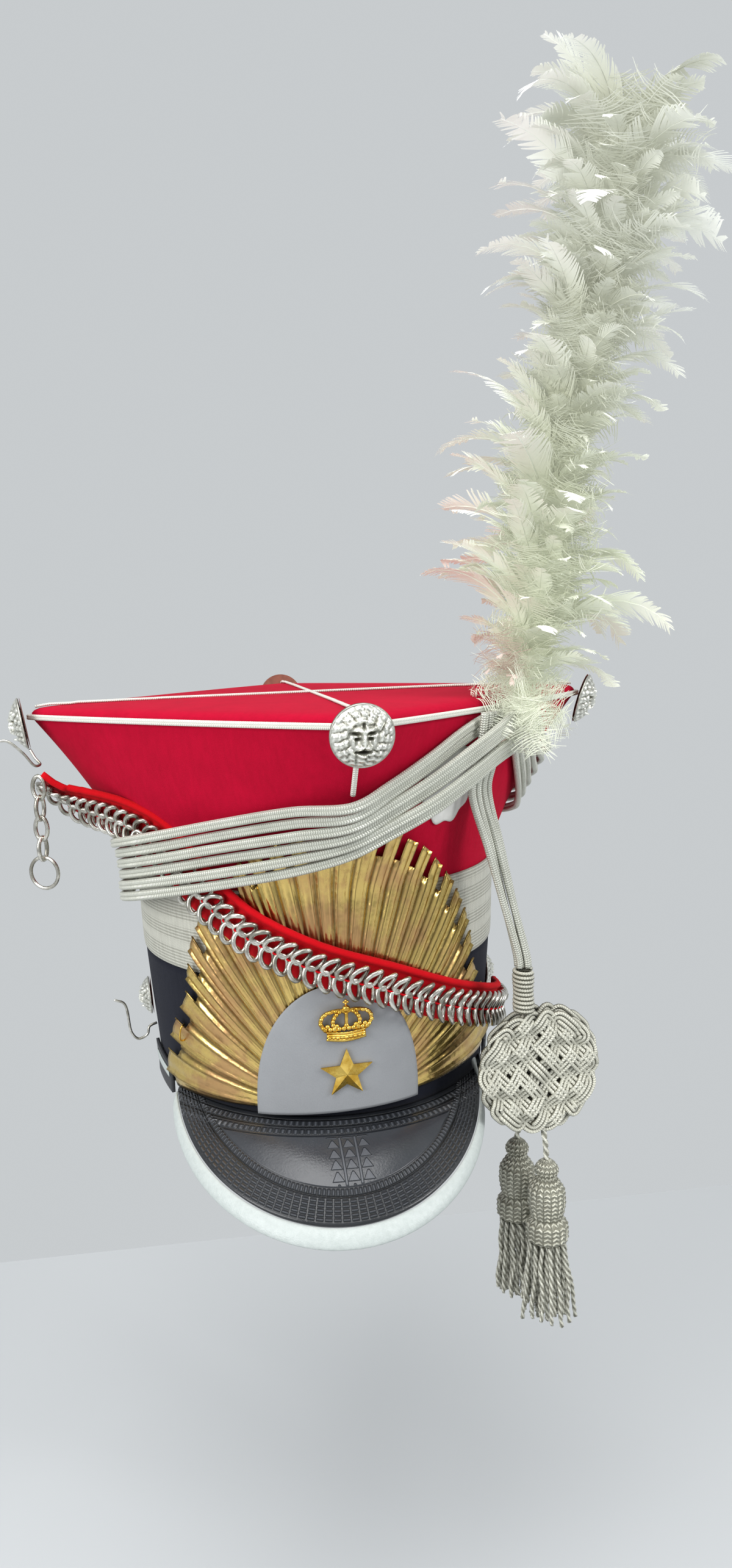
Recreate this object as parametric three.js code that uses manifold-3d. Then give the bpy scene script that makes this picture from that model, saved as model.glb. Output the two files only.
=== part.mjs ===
import * as THREE from 'three';
import { mergeVertices } from 'three/addons/utils/BufferGeometryUtils.js';
import Module from 'manifold-3d';

const wasm = await Module();
wasm.setup();

// A square-topped lancer cap with rayed plate, peak, chin chain, cap lines and plume.
// Millimetres, +Z up, the front of the cap faces -Y, origin at the centre of the head opening.
// An azimuth is in degrees about the cap's axis: 0 at the front, 90 at +X.
// Left and right are as they are seen from in front of the cap.

const clearance = 0.3;
const wallColumns = 36;

const turban = { halfWidth: 92, halfLength: 98, height: 67, spread: 5.5, thickness: 3, frontDip: 4.6 };
const band = { height: 45, spread: 1.5, thickness: 1.2, overlap: 0.6 };
const crown = {
  rise: 83, halfWidth: 150, halfLength: 148, lean: -12, flare: 1.25, squareness: 0.93, squareRate: 0.7,
  thickness: 2.4, topRise: 5.4, topDome: 1, ceiling: 0.97, sill: 1,
};
const piping = {
  diameter: 2.8, sides: 6, topDiameter: 2, topReach: 0.96, hiddenBelowFront: 0.8359, hiddenBelowBack: 0.7077,
  high: 0.9538, edgeSides: 5, edgeSlant: 1.35, cornerSlant: 1.2, steps: 5,
};
const peak = {
  halfWidth: 81, side: -4.2, reach: 100, setBack: 50, drop: 35, endDrop: 3, span: 62, thickness: 2.4,
  bulge: 5, edge: 4, columns: 24, rows: 3, inland: 0.9,
};
const binding = { width: 9, thickness: 5, sides: 8 };
const frontTurn = 3;
const plate = {
  azimuth: -3, halfWidth: 118, height: 141, standOff: 2, thickness: 0.8, relief: 1.4,
  teethPerSide: 13, columnsPerTooth: 3, rows: 3, base: 3.2, notch: 0.07,
  flank: 0.745, flankFrom: 0.8, roundness: 0.8, root: 0.9,
};
const shield = {
  halfWidth: 42, height: 66, thickness: 1, foot: 0.6, roundness: 2.2, tip: 0.97, columns: 8, rows: 6,
};
const badge = {
  azimuth: -1, thickness: 1.6, crownWidth: 25, crownHeight: 20, crownLevel: 39,
  starRadius: 13, starWaist: 0.42, starPoints: 5, starLevel: 21.5,
};
const mask = {
  radius: 14, height: 9, rim: 1.4, dome: 0.45, flatRim: 0.9, columns: 16, tilt: 9, belowTop: 3, standOff: 6,
  earRadius: 10.5, earHeight: 7.2, earColumns: 12, earTilt: 3, earLevel: 0.1846, earStandOff: 0.5,
  earAzimuth: 86.5, rightTurn: -30, rightTilt: 17,
};
const wire = {
  diameter: 1.5, sides: 6, stepsPerPoint: 2, leftLevel: 0.1128, rightLevel: 0.1103,
};
const strap = {
  lower: 8.5, upper: 12.5, thickness: 1.6, gap: 0.9, chainWidth: 16, chainThickness: 4, columns: 36,
};
const link = {
  length: 14.4, width: 9.5, wire: 2, overlap: 1.6, sides: 5, turns: 10, count: 4, yaw: -28, turn: 90,
  ring: 19, ringWire: 2.2, ringTurns: 16, across: -2.55, back: -10, up: 2,
};
const line = { diameter: 5, settle: 0.92, count: 6, sides: 6, steps: 34 };
const hanging = {
  diameter: 3.8, spacing: 4.7, degreesPerMm: 0.52, count: 4, sides: 8, steps: 14, lead: 5, leadBack: 0.5,
};
const whipping = {
  radius: 5.3, groove: 0.9, length: 23.6, ridges: 5, columns: 10,
  spot: { azimuth: 43, level: 0.3333, offset: 6.45 },
};
const mat = {
  radius: 34, squash: 0.97, thickness: 6, lobes: 10, lobeDepth: 2.6, columnsPerLobe: 3, gap: 1.2,
  aside: 8, sunk: 1, turn: 8, rearAside: 2.4, rearRise: 1,
};
const tassel = {
  knot: 6.2, knotLength: 9, neck: 4.6, body: 9.4, bodyLength: 23, collar: 11, collarLength: 12, columns: 10,
  skirt: 11.2, skirtLength: 43, folds: 7, foldDepth: 0.14, cord: 3.2, cordSteps: 5, cordSides: 8, sway: 2,
  headGap: 1, frontAside: 3.5, frontDrop: 14, rearAside: 5, rearBack: 22, rearDrop: 12,
};
const cockade = {
  radius: 21, thickness: 0.7, dome: 1.6, standOff: 0.5, azimuth: 28, level: 0.8256, petals: 9,
  petalDepth: 0.1,
};
const tab = { from: 66, to: 82, drop: 9, rise: 13, taper: 0.5, thickness: 1.8 };
const plume = {
  coreRadius: 5.9, tiers: 11, lobes: 5, sides: 15, reach: 56, stem: 0.06, firstTier: 0.09,
  hollow: 0.16, twist: 2.4, length: 307, foot: { azimuth: 47.57, level: 0.9385, offset: 2.543 },
};

const bandBase = turban.height;
const bandTop = bandBase + band.height;
const crownTop = bandTop + crown.rise;
const topSurface = crownTop + crown.topRise;

const radians = THREE.MathUtils.degToRad;
const mix = THREE.MathUtils.lerp;
const vector = (x, y, z) => new THREE.Vector3(x, y, z);

// The outline at a height: an oval up to the waist, then a square set corner-forward.
function outline(z) {
  if (z <= bandBase) {
    const share = z / turban.height;
    return {
      halfWidth: turban.halfWidth + turban.spread * share,
      halfLength: turban.halfLength + turban.spread * share,
      power: 2,
      shift: 0,
    };
  }
  const waistWidth = turban.halfWidth + turban.spread;
  const waistLength = turban.halfLength + turban.spread;
  if (z <= bandTop) {
    const share = (z - bandBase) / band.height;
    return {
      halfWidth: waistWidth + band.spread * share,
      halfLength: waistLength + band.spread * share,
      power: 2,
      shift: 0,
    };
  }
  const share = Math.min((z - bandTop) / crown.rise, 1);
  const spread = share ** crown.flare;
  return {
    halfWidth: mix(waistWidth + band.spread, crown.halfWidth, spread),
    halfLength: mix(waistLength + band.spread, crown.halfLength, spread),
    power: 2 - crown.squareness * share ** crown.squareRate,
    shift: crown.lean * share,
  };
}

// A point on the cap's outer surface, moved outward by an offset and drawn in by a share of the radius.
function wallPoint(azimuth, z, offset = 0, share = 1) {
  const { halfWidth, halfLength, power, shift } = outline(z);
  const angle = radians(azimuth);
  const across = Math.abs(Math.sin(angle) / halfWidth) ** power;
  const along = Math.abs(Math.cos(angle) / halfLength) ** power;
  const radius = (across + along) ** (-1 / power) * share + offset;
  return vector(radius * Math.sin(angle), shift - radius * Math.cos(angle), z);
}

// The outward direction square to the cap's surface.
function wallNormal(azimuth, z) {
  const around = wallPoint(azimuth + 1, z).sub(wallPoint(azimuth - 1, z));
  const upward = wallPoint(azimuth, z + 1).sub(wallPoint(azimuth, z - 1));
  return around.cross(upward).normalize();
}

// A point laid on the cap's surface by its distance along the wall from an azimuth.
function frontPoint(along, z, offset, azimuth = plate.azimuth) {
  const waist = turban.halfLength + turban.spread;
  const degrees = azimuth + THREE.MathUtils.radToDeg(along / waist);
  return wallPoint(degrees, z + along * Math.tan(radians(frontTurn)), offset);
}

// The front of the rim hangs a little lower than the back.
const rimLevel = azimuth => -turban.frontDip * (1 + Math.cos(radians(azimuth))) / 2;

// One closed body: shared vertices merged, flat slivers dropped, every face turned outward.
function closed(geometry) {
  const bare = geometry.clone();
  bare.deleteAttribute('normal');
  bare.deleteAttribute('uv');
  const merged = mergeVertices(bare, 1e-3);
  const corners = Array.from(merged.index.array);
  const position = merged.attributes.position;
  const kept = [];
  let volume = 0;
  for (let i = 0; i < corners.length; i += 3) {
    const [a, b, c] = corners.slice(i, i + 3);
    if (a === b || b === c || c === a) continue;
    kept.push(a, b, c);
    const [p, q, r] = [a, b, c].map(k => new THREE.Vector3().fromBufferAttribute(position, k));
    volume += p.dot(q.cross(r));
  }
  if (volume < 0) kept.reverse();
  merged.setIndex(kept);
  merged.computeVertexNormals();
  return merged;
}

function solid(geometry) {
  const { attributes, index } = closed(geometry);
  return new wasm.Manifold(new wasm.Mesh({
    numProp: 3,
    vertProperties: new Float32Array(attributes.position.array),
    triVerts: new Uint32Array(index.array),
  }));
}

function geometryOf(manifold) {
  const mesh = manifold.getMesh();
  const geometry = new THREE.BufferGeometry();
  geometry.setAttribute('position', new THREE.BufferAttribute(mesh.vertProperties, 3));
  geometry.setIndex(new THREE.BufferAttribute(mesh.triVerts, 1));
  geometry.computeVertexNormals();
  return geometry;
}

const fused = geometries => geometryOf(wasm.Manifold.union(geometries.map(solid)));

// Turns a profile round the axis and moves each of its vertices to place(profile row, azimuth).
function turned(profile, columns, place) {
  const flat = profile.map((row, step) => new THREE.Vector2(1, step));
  const geometry = new THREE.LatheGeometry(flat, columns);
  const position = geometry.attributes.position;
  for (let column = 0; column <= columns; column++) {
    const azimuth = 360 * (column % columns) / columns;
    profile.forEach((row, step) => {
      const point = place(row, azimuth);
      position.setXYZ(column * profile.length + step, point.x, point.y, point.z);
    });
  }
  return closed(geometry);
}

// Bends a box: u and v run 0 to 1 over its faces and w is 0 on the inside, 1 on the outside.
function bent(columns, rows, place) {
  const geometry = new THREE.BoxGeometry(1, 1, 1, columns, rows, 1);
  const position = geometry.attributes.position;
  for (let i = 0; i < position.count; i++) {
    const point = place(position.getX(i) + 0.5, position.getY(i) + 0.5, position.getZ(i) + 0.5);
    position.setXYZ(i, point.x, point.y, point.z);
  }
  return closed(geometry);
}

function disc(radius, sides) {
  const shape = new THREE.Shape();
  for (let side = 0; side < sides; side++) {
    const angle = 2 * Math.PI * (side + 0.5) / sides;
    shape[side ? 'lineTo' : 'moveTo'](radius * Math.cos(angle), radius * Math.sin(angle));
  }
  shape.closePath();
  return shape;
}

function tube(points, diameter, steps, sides) {
  const extrudePath = new THREE.CatmullRomCurve3(points);
  return closed(new THREE.ExtrudeGeometry(disc(diameter / 2, sides), { steps, extrudePath }));
}

function lathe(rows, columns) {
  const profile = rows.map(([radius, level]) => new THREE.Vector2(radius, level));
  return closed(new THREE.LatheGeometry(profile, columns));
}

function finish(color, roughness, metalness) {
  return new THREE.MeshStandardMaterial({ color, roughness, metalness });
}

const material = {
  navyCloth: finish('#1c2028', 0.95, 0),
  redCloth: finish('#c01830', 0.92, 0),
  silverLace: finish('#b9b8ac', 0.6, 0.3),
  whitePiping: finish('#d8d4c6', 0.8, 0),
  blackLeather: finish('#33373d', 0.4, 0),
  whiteLeather: finish('#e4ece8', 0.5, 0),
  brass: finish('#b9974f', 0.32, 1),
  greyLeather: finish('#9aa0a6', 0.55, 0),
  gilt: finish('#e0b545', 0.25, 1),
  silver: finish('#c9c6bc', 0.3, 1),
  steel: finish('#b5b0a6', 0.25, 1),
  redFelt: finish('#cf1220', 0.95, 0),
  silverCord: finish('#c4c3b8', 0.55, 0.25),
  whiteCotton: finish('#dcdad2', 0.85, 0),
  feather: finish('#e9eee2', 0.9, 0),
};

const cap = new THREE.Group();
cap.name = 'lancer_cap';

function add(name, geometry, kind) {
  const mesh = new THREE.Mesh(geometry, kind);
  mesh.name = name;
  cap.add(mesh);
  return mesh;
}

// Turban: the navy cloth round the head, open below.
function turbanWall() {
  const top = bandBase - clearance;
  const rows = [
    { offset: 0, share: 0 }, { offset: 0, share: 1 },
    { offset: -turban.thickness, share: 1 }, { offset: -turban.thickness, share: 0 },
    { offset: 0, share: 0 },
  ];
  return turned(rows, wallColumns, (row, azimuth) => {
    const z = mix(rimLevel(azimuth), top, row.share);
    return wallPoint(azimuth, Math.max(z, 0), row.offset).setZ(z);
  });
}

// Crown: the red cloth from under the lace band up to the square top, hollow inside.
const crownLifts = [0.15, 0.4, 0.7, 1];
const roofRows = [
  { rise: 0.7, dome: 0, share: 0.99 },
  { rise: 1, dome: 0, share: 0.95 },
  { rise: 1, dome: 1, share: 0.5 },
  { rise: 1, dome: 1, share: 0 },
];

function crownWall() {
  const underBand = -(band.thickness + clearance) + band.overlap;
  const outside = [
    { z: bandBase, offset: underBand }, { z: bandTop, offset: underBand },
    ...crownLifts.map(share => ({ z: bandTop + crown.rise * share, offset: 0 })),
  ];
  const roof = roofRows.map(({ rise, dome, share }) => (
    { z: crownTop + crown.topRise * rise + crown.topDome * dome, share }
  ));
  const ceiling = roof.slice().reverse().map(({ z, share }) => (
    { z: z - crown.thickness, share: share * crown.ceiling }
  ));
  const inside = outside.slice().reverse().map(({ z, offset }) => (
    { z: Math.min(z, crownTop - crown.sill), offset: offset - crown.thickness }
  ));
  return turned([...outside, ...roof, ...ceiling, ...inside, outside[0]], wallColumns, (row, azimuth) => (
    wallPoint(azimuth, Math.min(row.z, crownTop), row.offset ?? 0, row.share ?? 1).setZ(row.z)
  ));
}

// Lace band: the silver lace over the seam of turban and crown.
function laceBand() {
  const outer = band.overlap;
  const inner = outer - band.thickness;
  const rows = [[0, outer], [1, outer], [1, inner], [0, inner], [0, outer]];
  return turned(rows, wallColumns, ([share, offset], azimuth) => (
    wallPoint(azimuth, mix(bandBase, bandTop, share), offset)
  ));
}

// Piping round the top edge, along the corners and across the top.
const quarters = [0, 0.25, 0.5, 0.75, 1];

function edgePiping() {
  const rows = Array.from({ length: piping.edgeSides + 1 }, (_, side) => (
    2 * Math.PI * (side % piping.edgeSides) / piping.edgeSides
  ));
  const radius = piping.diameter / 2;
  return turned(rows, wallColumns, (angle, azimuth) => (
    wallPoint(azimuth, crownTop, piping.edgeSlant * (radius + clearance + radius * Math.cos(angle)))
      .setZ(crownTop + radius * Math.sin(angle))
  ));
}

function cornerPiping(azimuth, low, high) {
  const radius = piping.diameter / 2;
  const points = quarters.map(share => (
    wallPoint(azimuth, mix(low, high, share) * crownTop, (radius + clearance) * piping.cornerSlant)
  ));
  return tube(points, piping.diameter, piping.steps, piping.sides);
}

function topPiping() {
  const strips = [0, 90].map(azimuth => {
    const ends = [azimuth, azimuth + 180].map(side => (
      wallPoint(side, crownTop, 0, piping.topReach).setZ(topSurface)
    ));
    const points = quarters.map(share => {
      const point = ends[0].clone().lerp(ends[1], share);
      const rise = share > 0 && share < 1 ? crown.topDome : 0;
      return point.setZ(topSurface + clearance + piping.topDiameter / 2 + rise);
    });
    return tube(points, piping.topDiameter, points.length - 1, piping.sides);
  });
  return fused(strips);
}

// Peak: the leather and the rolled binding on its edge.
function peakPoint(u, v) {
  const swing = radians(90 * u);
  const inner = wallPoint(peak.span * u, 0, clearance).setZ(rimLevel(peak.span * u));
  const outer = vector(
    peak.side + peak.halfWidth * Math.sin(swing),
    -peak.setBack - peak.reach * Math.cos(swing),
    -peak.endDrop - peak.drop * Math.cos(swing),
  );
  const point = inner.lerp(outer, v);
  point.z += peak.bulge * Math.sin(Math.PI * v) * Math.cos(swing);
  point.z += point.x * Math.tan(radians(frontTurn)) * v;
  return point;
}

function peakLeather() {
  return bent(peak.columns, peak.rows, (u, v, w) => {
    const turn = 2 * u - 1;
    const edge = peakPoint(turn, 1);
    const inward = peakPoint(turn, peak.inland).sub(edge).normalize();
    const point = peakPoint(turn, v);
    point.addScaledVector(inward, peak.edge * v * v);
    point.z += (w - 0.5) * peak.thickness;
    return point;
  });
}

// The binding is an oval roll, grooved to take the leather's edge, that follows the peak's edge.
function peakBinding() {
  const shape = disc(1, binding.sides);
  const straight = new THREE.ExtrudeGeometry(shape, { depth: 1, steps: peak.columns, bevelEnabled: false });
  const position = straight.attributes.position;
  for (let i = 0; i < position.count; i++) {
    const u = 2 * position.getZ(i) - 1;
    const edge = peakPoint(u, 1);
    const outward = edge.clone().sub(peakPoint(u, peak.inland)).normalize();
    const across = binding.width / 2 * (1 + position.getX(i)) + clearance;
    const up = binding.thickness / 2 * position.getY(i);
    edge.addScaledVector(outward, across - peak.edge).add(vector(0, 0, up));
    position.setXYZ(i, edge.x, edge.y, edge.z);
  }
  return closed(straight);
}

// Rayed plate: fluted brass rays spread round the shield, with stepped tips.
function rayPoint(turn, reach) {
  const angle = radians(90 * turn);
  const wing = Math.max(0, Math.abs(turn) - plate.flankFrom) / (1 - plate.flankFrom);
  const across = plate.halfWidth * mix(plate.flank, 1, wing) * Math.sin(angle);
  const outer = vector(across, plate.height * Math.cos(angle) ** plate.roundness, 0);
  const inner = vector(shield.halfWidth * Math.sin(angle), shield.height * Math.cos(angle), 0);
  return inner.multiplyScalar(plate.root).lerp(outer, reach);
}

function rayedPlate() {
  const columns = 2 * plate.teethPerSide * plate.columnsPerTooth;
  return bent(columns, plate.rows, (u, v, w) => {
    const valley = Math.round(u * columns) % plate.columnsPerTooth === 0;
    const reach = v * (valley ? 1 - plate.notch : 1);
    const spot = rayPoint(2 * u - 1, reach);
    const ridge = valley ? 0 : plate.relief;
    return frontPoint(spot.x, plate.base + spot.y, plate.standOff + ridge + w * plate.thickness);
  });
}

function shieldPlate() {
  const standOff = plate.standOff + plate.relief + plate.thickness + clearance;
  return bent(shield.columns, shield.rows, (u, v, w) => {
    const width = Math.sqrt(1 - (v * shield.tip) ** shield.roundness);
    const along = shield.halfWidth * width * (2 * u - 1);
    return frontPoint(along, shield.foot + shield.height * v, standOff + w * shield.thickness);
  });
}

// A flat badge shape laid on the shield.
function badgeOn(shape, level) {
  const standOff = plate.standOff + plate.relief + plate.thickness + shield.thickness + 3 * clearance;
  const settings = { depth: badge.thickness, bevelEnabled: false, curveSegments: 5 };
  const geometry = new THREE.ExtrudeGeometry(shape, settings);
  const position = geometry.attributes.position;
  for (let i = 0; i < position.count; i++) {
    const [along, up, out] = [position.getX(i), position.getY(i), position.getZ(i)];
    const point = frontPoint(along, level + up, standOff + out, badge.azimuth);
    position.setXYZ(i, point.x, point.y, point.z);
  }
  return closed(geometry);
}

function crownShape() {
  const half = badge.crownWidth / 2;
  const tall = badge.crownHeight;
  const shape = new THREE.Shape();
  shape.moveTo(-half * 0.72, 0);
  shape.lineTo(half * 0.72, 0);
  shape.lineTo(half * 0.78, tall * 0.26);
  shape.bezierCurveTo(half * 1.3, tall * 0.75, half * 0.75, tall * 0.8, half * 0.12, tall * 0.8);
  shape.lineTo(half * 0.12, tall);
  shape.lineTo(-half * 0.12, tall);
  shape.lineTo(-half * 0.12, tall * 0.8);
  shape.bezierCurveTo(-half * 0.75, tall * 0.8, -half * 1.3, tall * 0.75, -half * 0.78, tall * 0.26);
  shape.closePath();
  for (const side of [-1, 1]) {
    const hole = new THREE.Path();
    hole.moveTo(side * half * 0.16, tall * 0.34);
    hole.lineTo(side * half * 0.62, tall * 0.31);
    hole.quadraticCurveTo(side * half * 0.85, tall * 0.68, side * half * 0.16, tall * 0.7);
    hole.closePath();
    shape.holes.push(hole);
  }
  return shape;
}

function starShape() {
  const shape = new THREE.Shape();
  for (let point = 0; point < 2 * badge.starPoints; point++) {
    const angle = Math.PI * (0.5 + point / badge.starPoints);
    const radius = badge.starRadius * (point % 2 ? badge.starWaist : 1);
    shape[point ? 'lineTo' : 'moveTo'](radius * Math.cos(angle), radius * Math.sin(angle));
  }
  shape.closePath();
  return shape;
}

// A lion mask: a domed disc with the face raised out of it, in shares of its radius and height.
const faceFeatures = {
  muzzle: { across: 0, up: -0.25, size: 0.26, height: 0.35 },
  nose: { across: 0, up: 0.05, size: 0.16, height: 0.25 },
  leftBrow: { across: -0.28, up: 0.2, size: 0.18, height: 0.22 },
  rightBrow: { across: 0.28, up: 0.2, size: 0.18, height: 0.22 },
  forehead: { across: 0, up: 0.45, size: 0.3, height: 0.2 },
  leftCheek: { across: -0.6, up: 0, size: 0.25, height: 0.12 },
  rightCheek: { across: 0.6, up: 0, size: 0.25, height: 0.12 },
  chin: { across: 0, up: -0.62, size: 0.2, height: 0.12 },
};

function faceRelief(across, up) {
  return Object.values(faceFeatures).reduce((sum, feature) => {
    const distance = ((across - feature.across) ** 2 + (up - feature.up) ** 2) / feature.size ** 2;
    return sum + feature.height * Math.exp(-distance);
  }, 0);
}

function lionMask(radius, height, columns) {
  const shares = [1, 0.94, 0.82, 0.6, 0.36, 0];
  const rows = [{ share: 0, back: true }, { share: 1, back: true }, ...shares.map(share => ({ share }))];
  return turned(rows, columns, ({ share, back }, azimuth) => {
    const angle = radians(azimuth);
    const across = share * Math.sin(angle);
    const up = share * Math.cos(angle);
    const face = share < mask.flatRim ? faceRelief(across, up) : 0;
    const dome = mask.rim + height * (mask.dome * (1 - share ** 2) + face);
    return vector(radius * across, back ? 0 : -dome, radius * up);
  });
}

function placeMask(name, azimuth, level, offset, tilt, geometry) {
  const mesh = add(name, geometry, material.silver);
  const spot = wallPoint(azimuth, Math.min(level, crownTop), offset).setZ(level);
  mesh.position.copy(spot);
  mesh.rotation.set(radians(tilt), 0, radians(azimuth), 'ZXY');
  return mesh;
}

// Chin chain: felt-edged strap and curb links, from the right ear boss up to the left corner.
// Levels are shares of the cap's height and offsets are in thicknesses of the chain.
const chainRoute = [
  { azimuth: -87, level: 0.8359, offset: 5 },
  { azimuth: -84, level: 0.7744, offset: 3.5 },
  { azimuth: -68, level: 0.7282, offset: 0.75 },
  { azimuth: -54, level: 0.6769, offset: 0.65 },
  { azimuth: -40, level: 0.5795, offset: 1.45 },
  { azimuth: -31, level: 0.5179, offset: 1.5 },
  { azimuth: -22, level: 0.4615, offset: 1.6 },
  { azimuth: -8, level: 0.3949, offset: 1.7 },
  { azimuth: 10, level: 0.3282, offset: 1.7 },
  { azimuth: 27, level: 0.2564, offset: 1.65 },
  { azimuth: 45, level: 0.1949, offset: 1.5 },
  { azimuth: 62, level: 0.1487, offset: 1.35 },
  { azimuth: 76, level: 0.1231, offset: 0.85 },
];

function chainSpot({ azimuth, level, offset }) {
  return wallPoint(azimuth, level * crownTop, offset * strap.chainThickness);
}

function chainStrip(across, inner, outer) {
  const spots = chainRoute.map(chainSpot);
  const route = new THREE.CatmullRomCurve3(spots);
  const normals = chainRoute.map(({ azimuth, level }) => wallNormal(azimuth, level * crownTop));
  const lean = new THREE.CatmullRomCurve3(normals);
  return bent(strap.columns, 1, (u, v, w) => {
    const centre = route.getPoint(u);
    const tangent = route.getTangent(u);
    const outward = lean.getPoint(u).normalize();
    const upward = new THREE.Vector3().crossVectors(outward, tangent).normalize();
    const lift = new THREE.Vector3().crossVectors(tangent, upward).normalize();
    const side = mix(across[0], across[1], v);
    return centre.addScaledVector(upward, side).addScaledVector(lift, mix(inner, outer, w));
  });
}

// Wire links hung in a row, each through the next and fused where they touch.
function chainTail() {
  const top = chainSpot(chainRoute[0]).add(vector(link.across, link.back, link.up));
  const across = (link.width - link.wire) / 2;
  const tall = (link.length - link.wire) / 2;
  const pitch = 2 * tall - link.overlap;
  const ringRadius = (link.ring - link.ringWire) / 2;
  const upright = (ring, index, level) => ring
    .rotateX(Math.PI / 2)
    .rotateZ(radians(link.yaw + link.turn * (index % 2)))
    .translate(top.x, top.y, level);
  const links = [];
  for (let index = 0; index < link.count; index++) {
    const oval = new THREE.TorusGeometry(1, link.wire / 2 / across, link.sides, link.turns);
    links.push(upright(oval.scale(across, tall, across), index, top.z - tall - index * pitch));
  }
  const ring = new THREE.TorusGeometry(ringRadius, link.ringWire / 2, link.sides, link.ringTurns);
  links.push(upright(ring, link.count, top.z - link.count * pitch - ringRadius + link.overlap / 8));
  return fused(links);
}

// Cap lines: six cords from the plume's foot across the front, round the back and up again.
// Levels, and how far apart a pair's two lines run, are shares of the cap's height. Offsets and lifts
// are in diameters of the line, and where lines press together each keeps a share of its diameter.
const frontEnds = [
  { azimuth: 40.5, level: 0.9795, offset: 0.68 },
  { azimuth: 40.5, level: 0.9579, offset: 0.68 },
  { azimuth: 43.5, level: 0.9867, offset: 2.88 },
  { azimuth: 43.5, level: 0.9646, offset: 2.88 },
  { azimuth: 47.5, level: 0.9246, offset: 2.64 },
  { azimuth: 47.5, level: 0.9021, offset: 2.64 },
];
const lineRoute = [
  { azimuth: 37, pairs: [0.9641, 0.9446, 0.8867], apart: 0.0226, lift: [0.72, 2.8, 2.84] },
  { azimuth: 29, pairs: [0.9415, 0.9077, 0.8528], apart: 0.0236, lift: [0.76, 2.6, 3] },
  { azimuth: 18, pairs: [0.8923, 0.8456, 0.7959], apart: 0.0241, lift: [0.84, 2.04, 3.04] },
  { azimuth: 8, pairs: [0.8395, 0.7903, 0.7415], apart: 0.0246, lift: [0.96, 1.72, 2.4] },
  { azimuth: 0, pairs: [0.7979, 0.7467, 0.6964], apart: 0.0256, lift: [1.8, 1.96, 1.96] },
  { azimuth: -12, pairs: [0.7798, 0.7195, 0.6592], apart: 0.0302, lift: [1.04, 1.72, 1.92] },
  { azimuth: -30, pairs: [0.7417, 0.681, 0.6203], apart: 0.0304, lift: [0.8, 1.4, 2.56] },
  { azimuth: -48, pairs: [0.7031, 0.6436, 0.5841], apart: 0.0297, lift: [2.76, 3.12, 3.8] },
  { azimuth: -66, pairs: [0.6621, 0.6026, 0.5431], apart: 0.0297, lift: [2.8, 3.12, 3.28] },
  { azimuth: -88, pairs: [0.6238, 0.5654, 0.5069], apart: 0.0292, lift: [1.24, 1.12, 1.04] },
  { azimuth: -112, pairs: [0.6162, 0.5577, 0.4992], apart: 0.0292, lift: [0.92, 0.92, 0.92] },
  { azimuth: -145, pairs: [0.6313, 0.5718, 0.5123], apart: 0.0297, lift: [0.96, 0.96, 0.96] },
  { azimuth: -180, pairs: [0.6672, 0.6077, 0.5482], apart: 0.0297, lift: [1.32, 1.12, 0.96] },
  { azimuth: -218, pairs: [0.7185, 0.659, 0.5995], apart: 0.0297, lift: [0.88, 0.96, 1.08] },
  { azimuth: -252, pairs: [0.7697, 0.7103, 0.6508], apart: 0.0297, lift: [0.92, 0.92, 0.96] },
  { azimuth: -272, pairs: [0.8241, 0.7564, 0.6887], apart: 0.0338, lift: [1.28, 1.28, 1.28] },
  { azimuth: -287, pairs: [0.8851, 0.8154, 0.7456], apart: 0.0349, lift: [0.96, 1, 1.04] },
];
const backEnds = [
  { azimuth: -294, level: 0.9692, offset: 0.92 },
  { azimuth: -296.7, level: 0.9641, offset: 0.92 },
  { azimuth: -299.4, level: 0.959, offset: 0.92 },
  { azimuth: -302.1, level: 0.9538, offset: 0.92 },
  { azimuth: -304.8, level: 0.9487, offset: 0.92 },
  { azimuth: -307.5, level: 0.9436, offset: 0.92 },
];

function lineSpot({ azimuth, level, offset }) {
  return wallPoint(azimuth, level * crownTop, offset * line.diameter);
}

function capLine(index) {
  const pair = Math.floor(index / 2);
  const above = 0.5 - index % 2;
  const ends = [frontEnds[index], backEnds[index]].map(lineSpot);
  const middle = lineRoute.map(({ azimuth, pairs, apart, lift }) => (
    lineSpot({ azimuth, level: pairs[pair] + above * apart, offset: lift[pair] })
  ));
  return tube([ends[0], ...middle, ends[1]], line.diameter * line.settle, line.steps, line.sides);
}

// Four cords that drop from the plume's foot and hang in front of the right side.
const hangingRoute = [
  { azimuth: 38.6, level: 0.9974, offset: 1.68 },
  { azimuth: 37.6, level: 0.9333, offset: 1.8 },
  { azimuth: 36.6, level: 0.8615, offset: 1.8 },
  { azimuth: 36.8, level: 0.8, offset: 1.68 },
];
const gather = lineSpot(whipping.spot);
const matRise = mat.radius * mat.squash;
const matFoot = matRise + clearance;
const matCentre = gather.clone().add(vector(mat.aside, 0, mat.sunk - whipping.length - matRise));
const tasselTops = {
  front: matCentre.clone().add(vector(tassel.frontAside, 0, -matFoot - tassel.frontDrop)),
  rear: matCentre.clone().add(vector(-tassel.rearAside, tassel.rearBack, -matFoot - tassel.rearDrop)),
};

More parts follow.
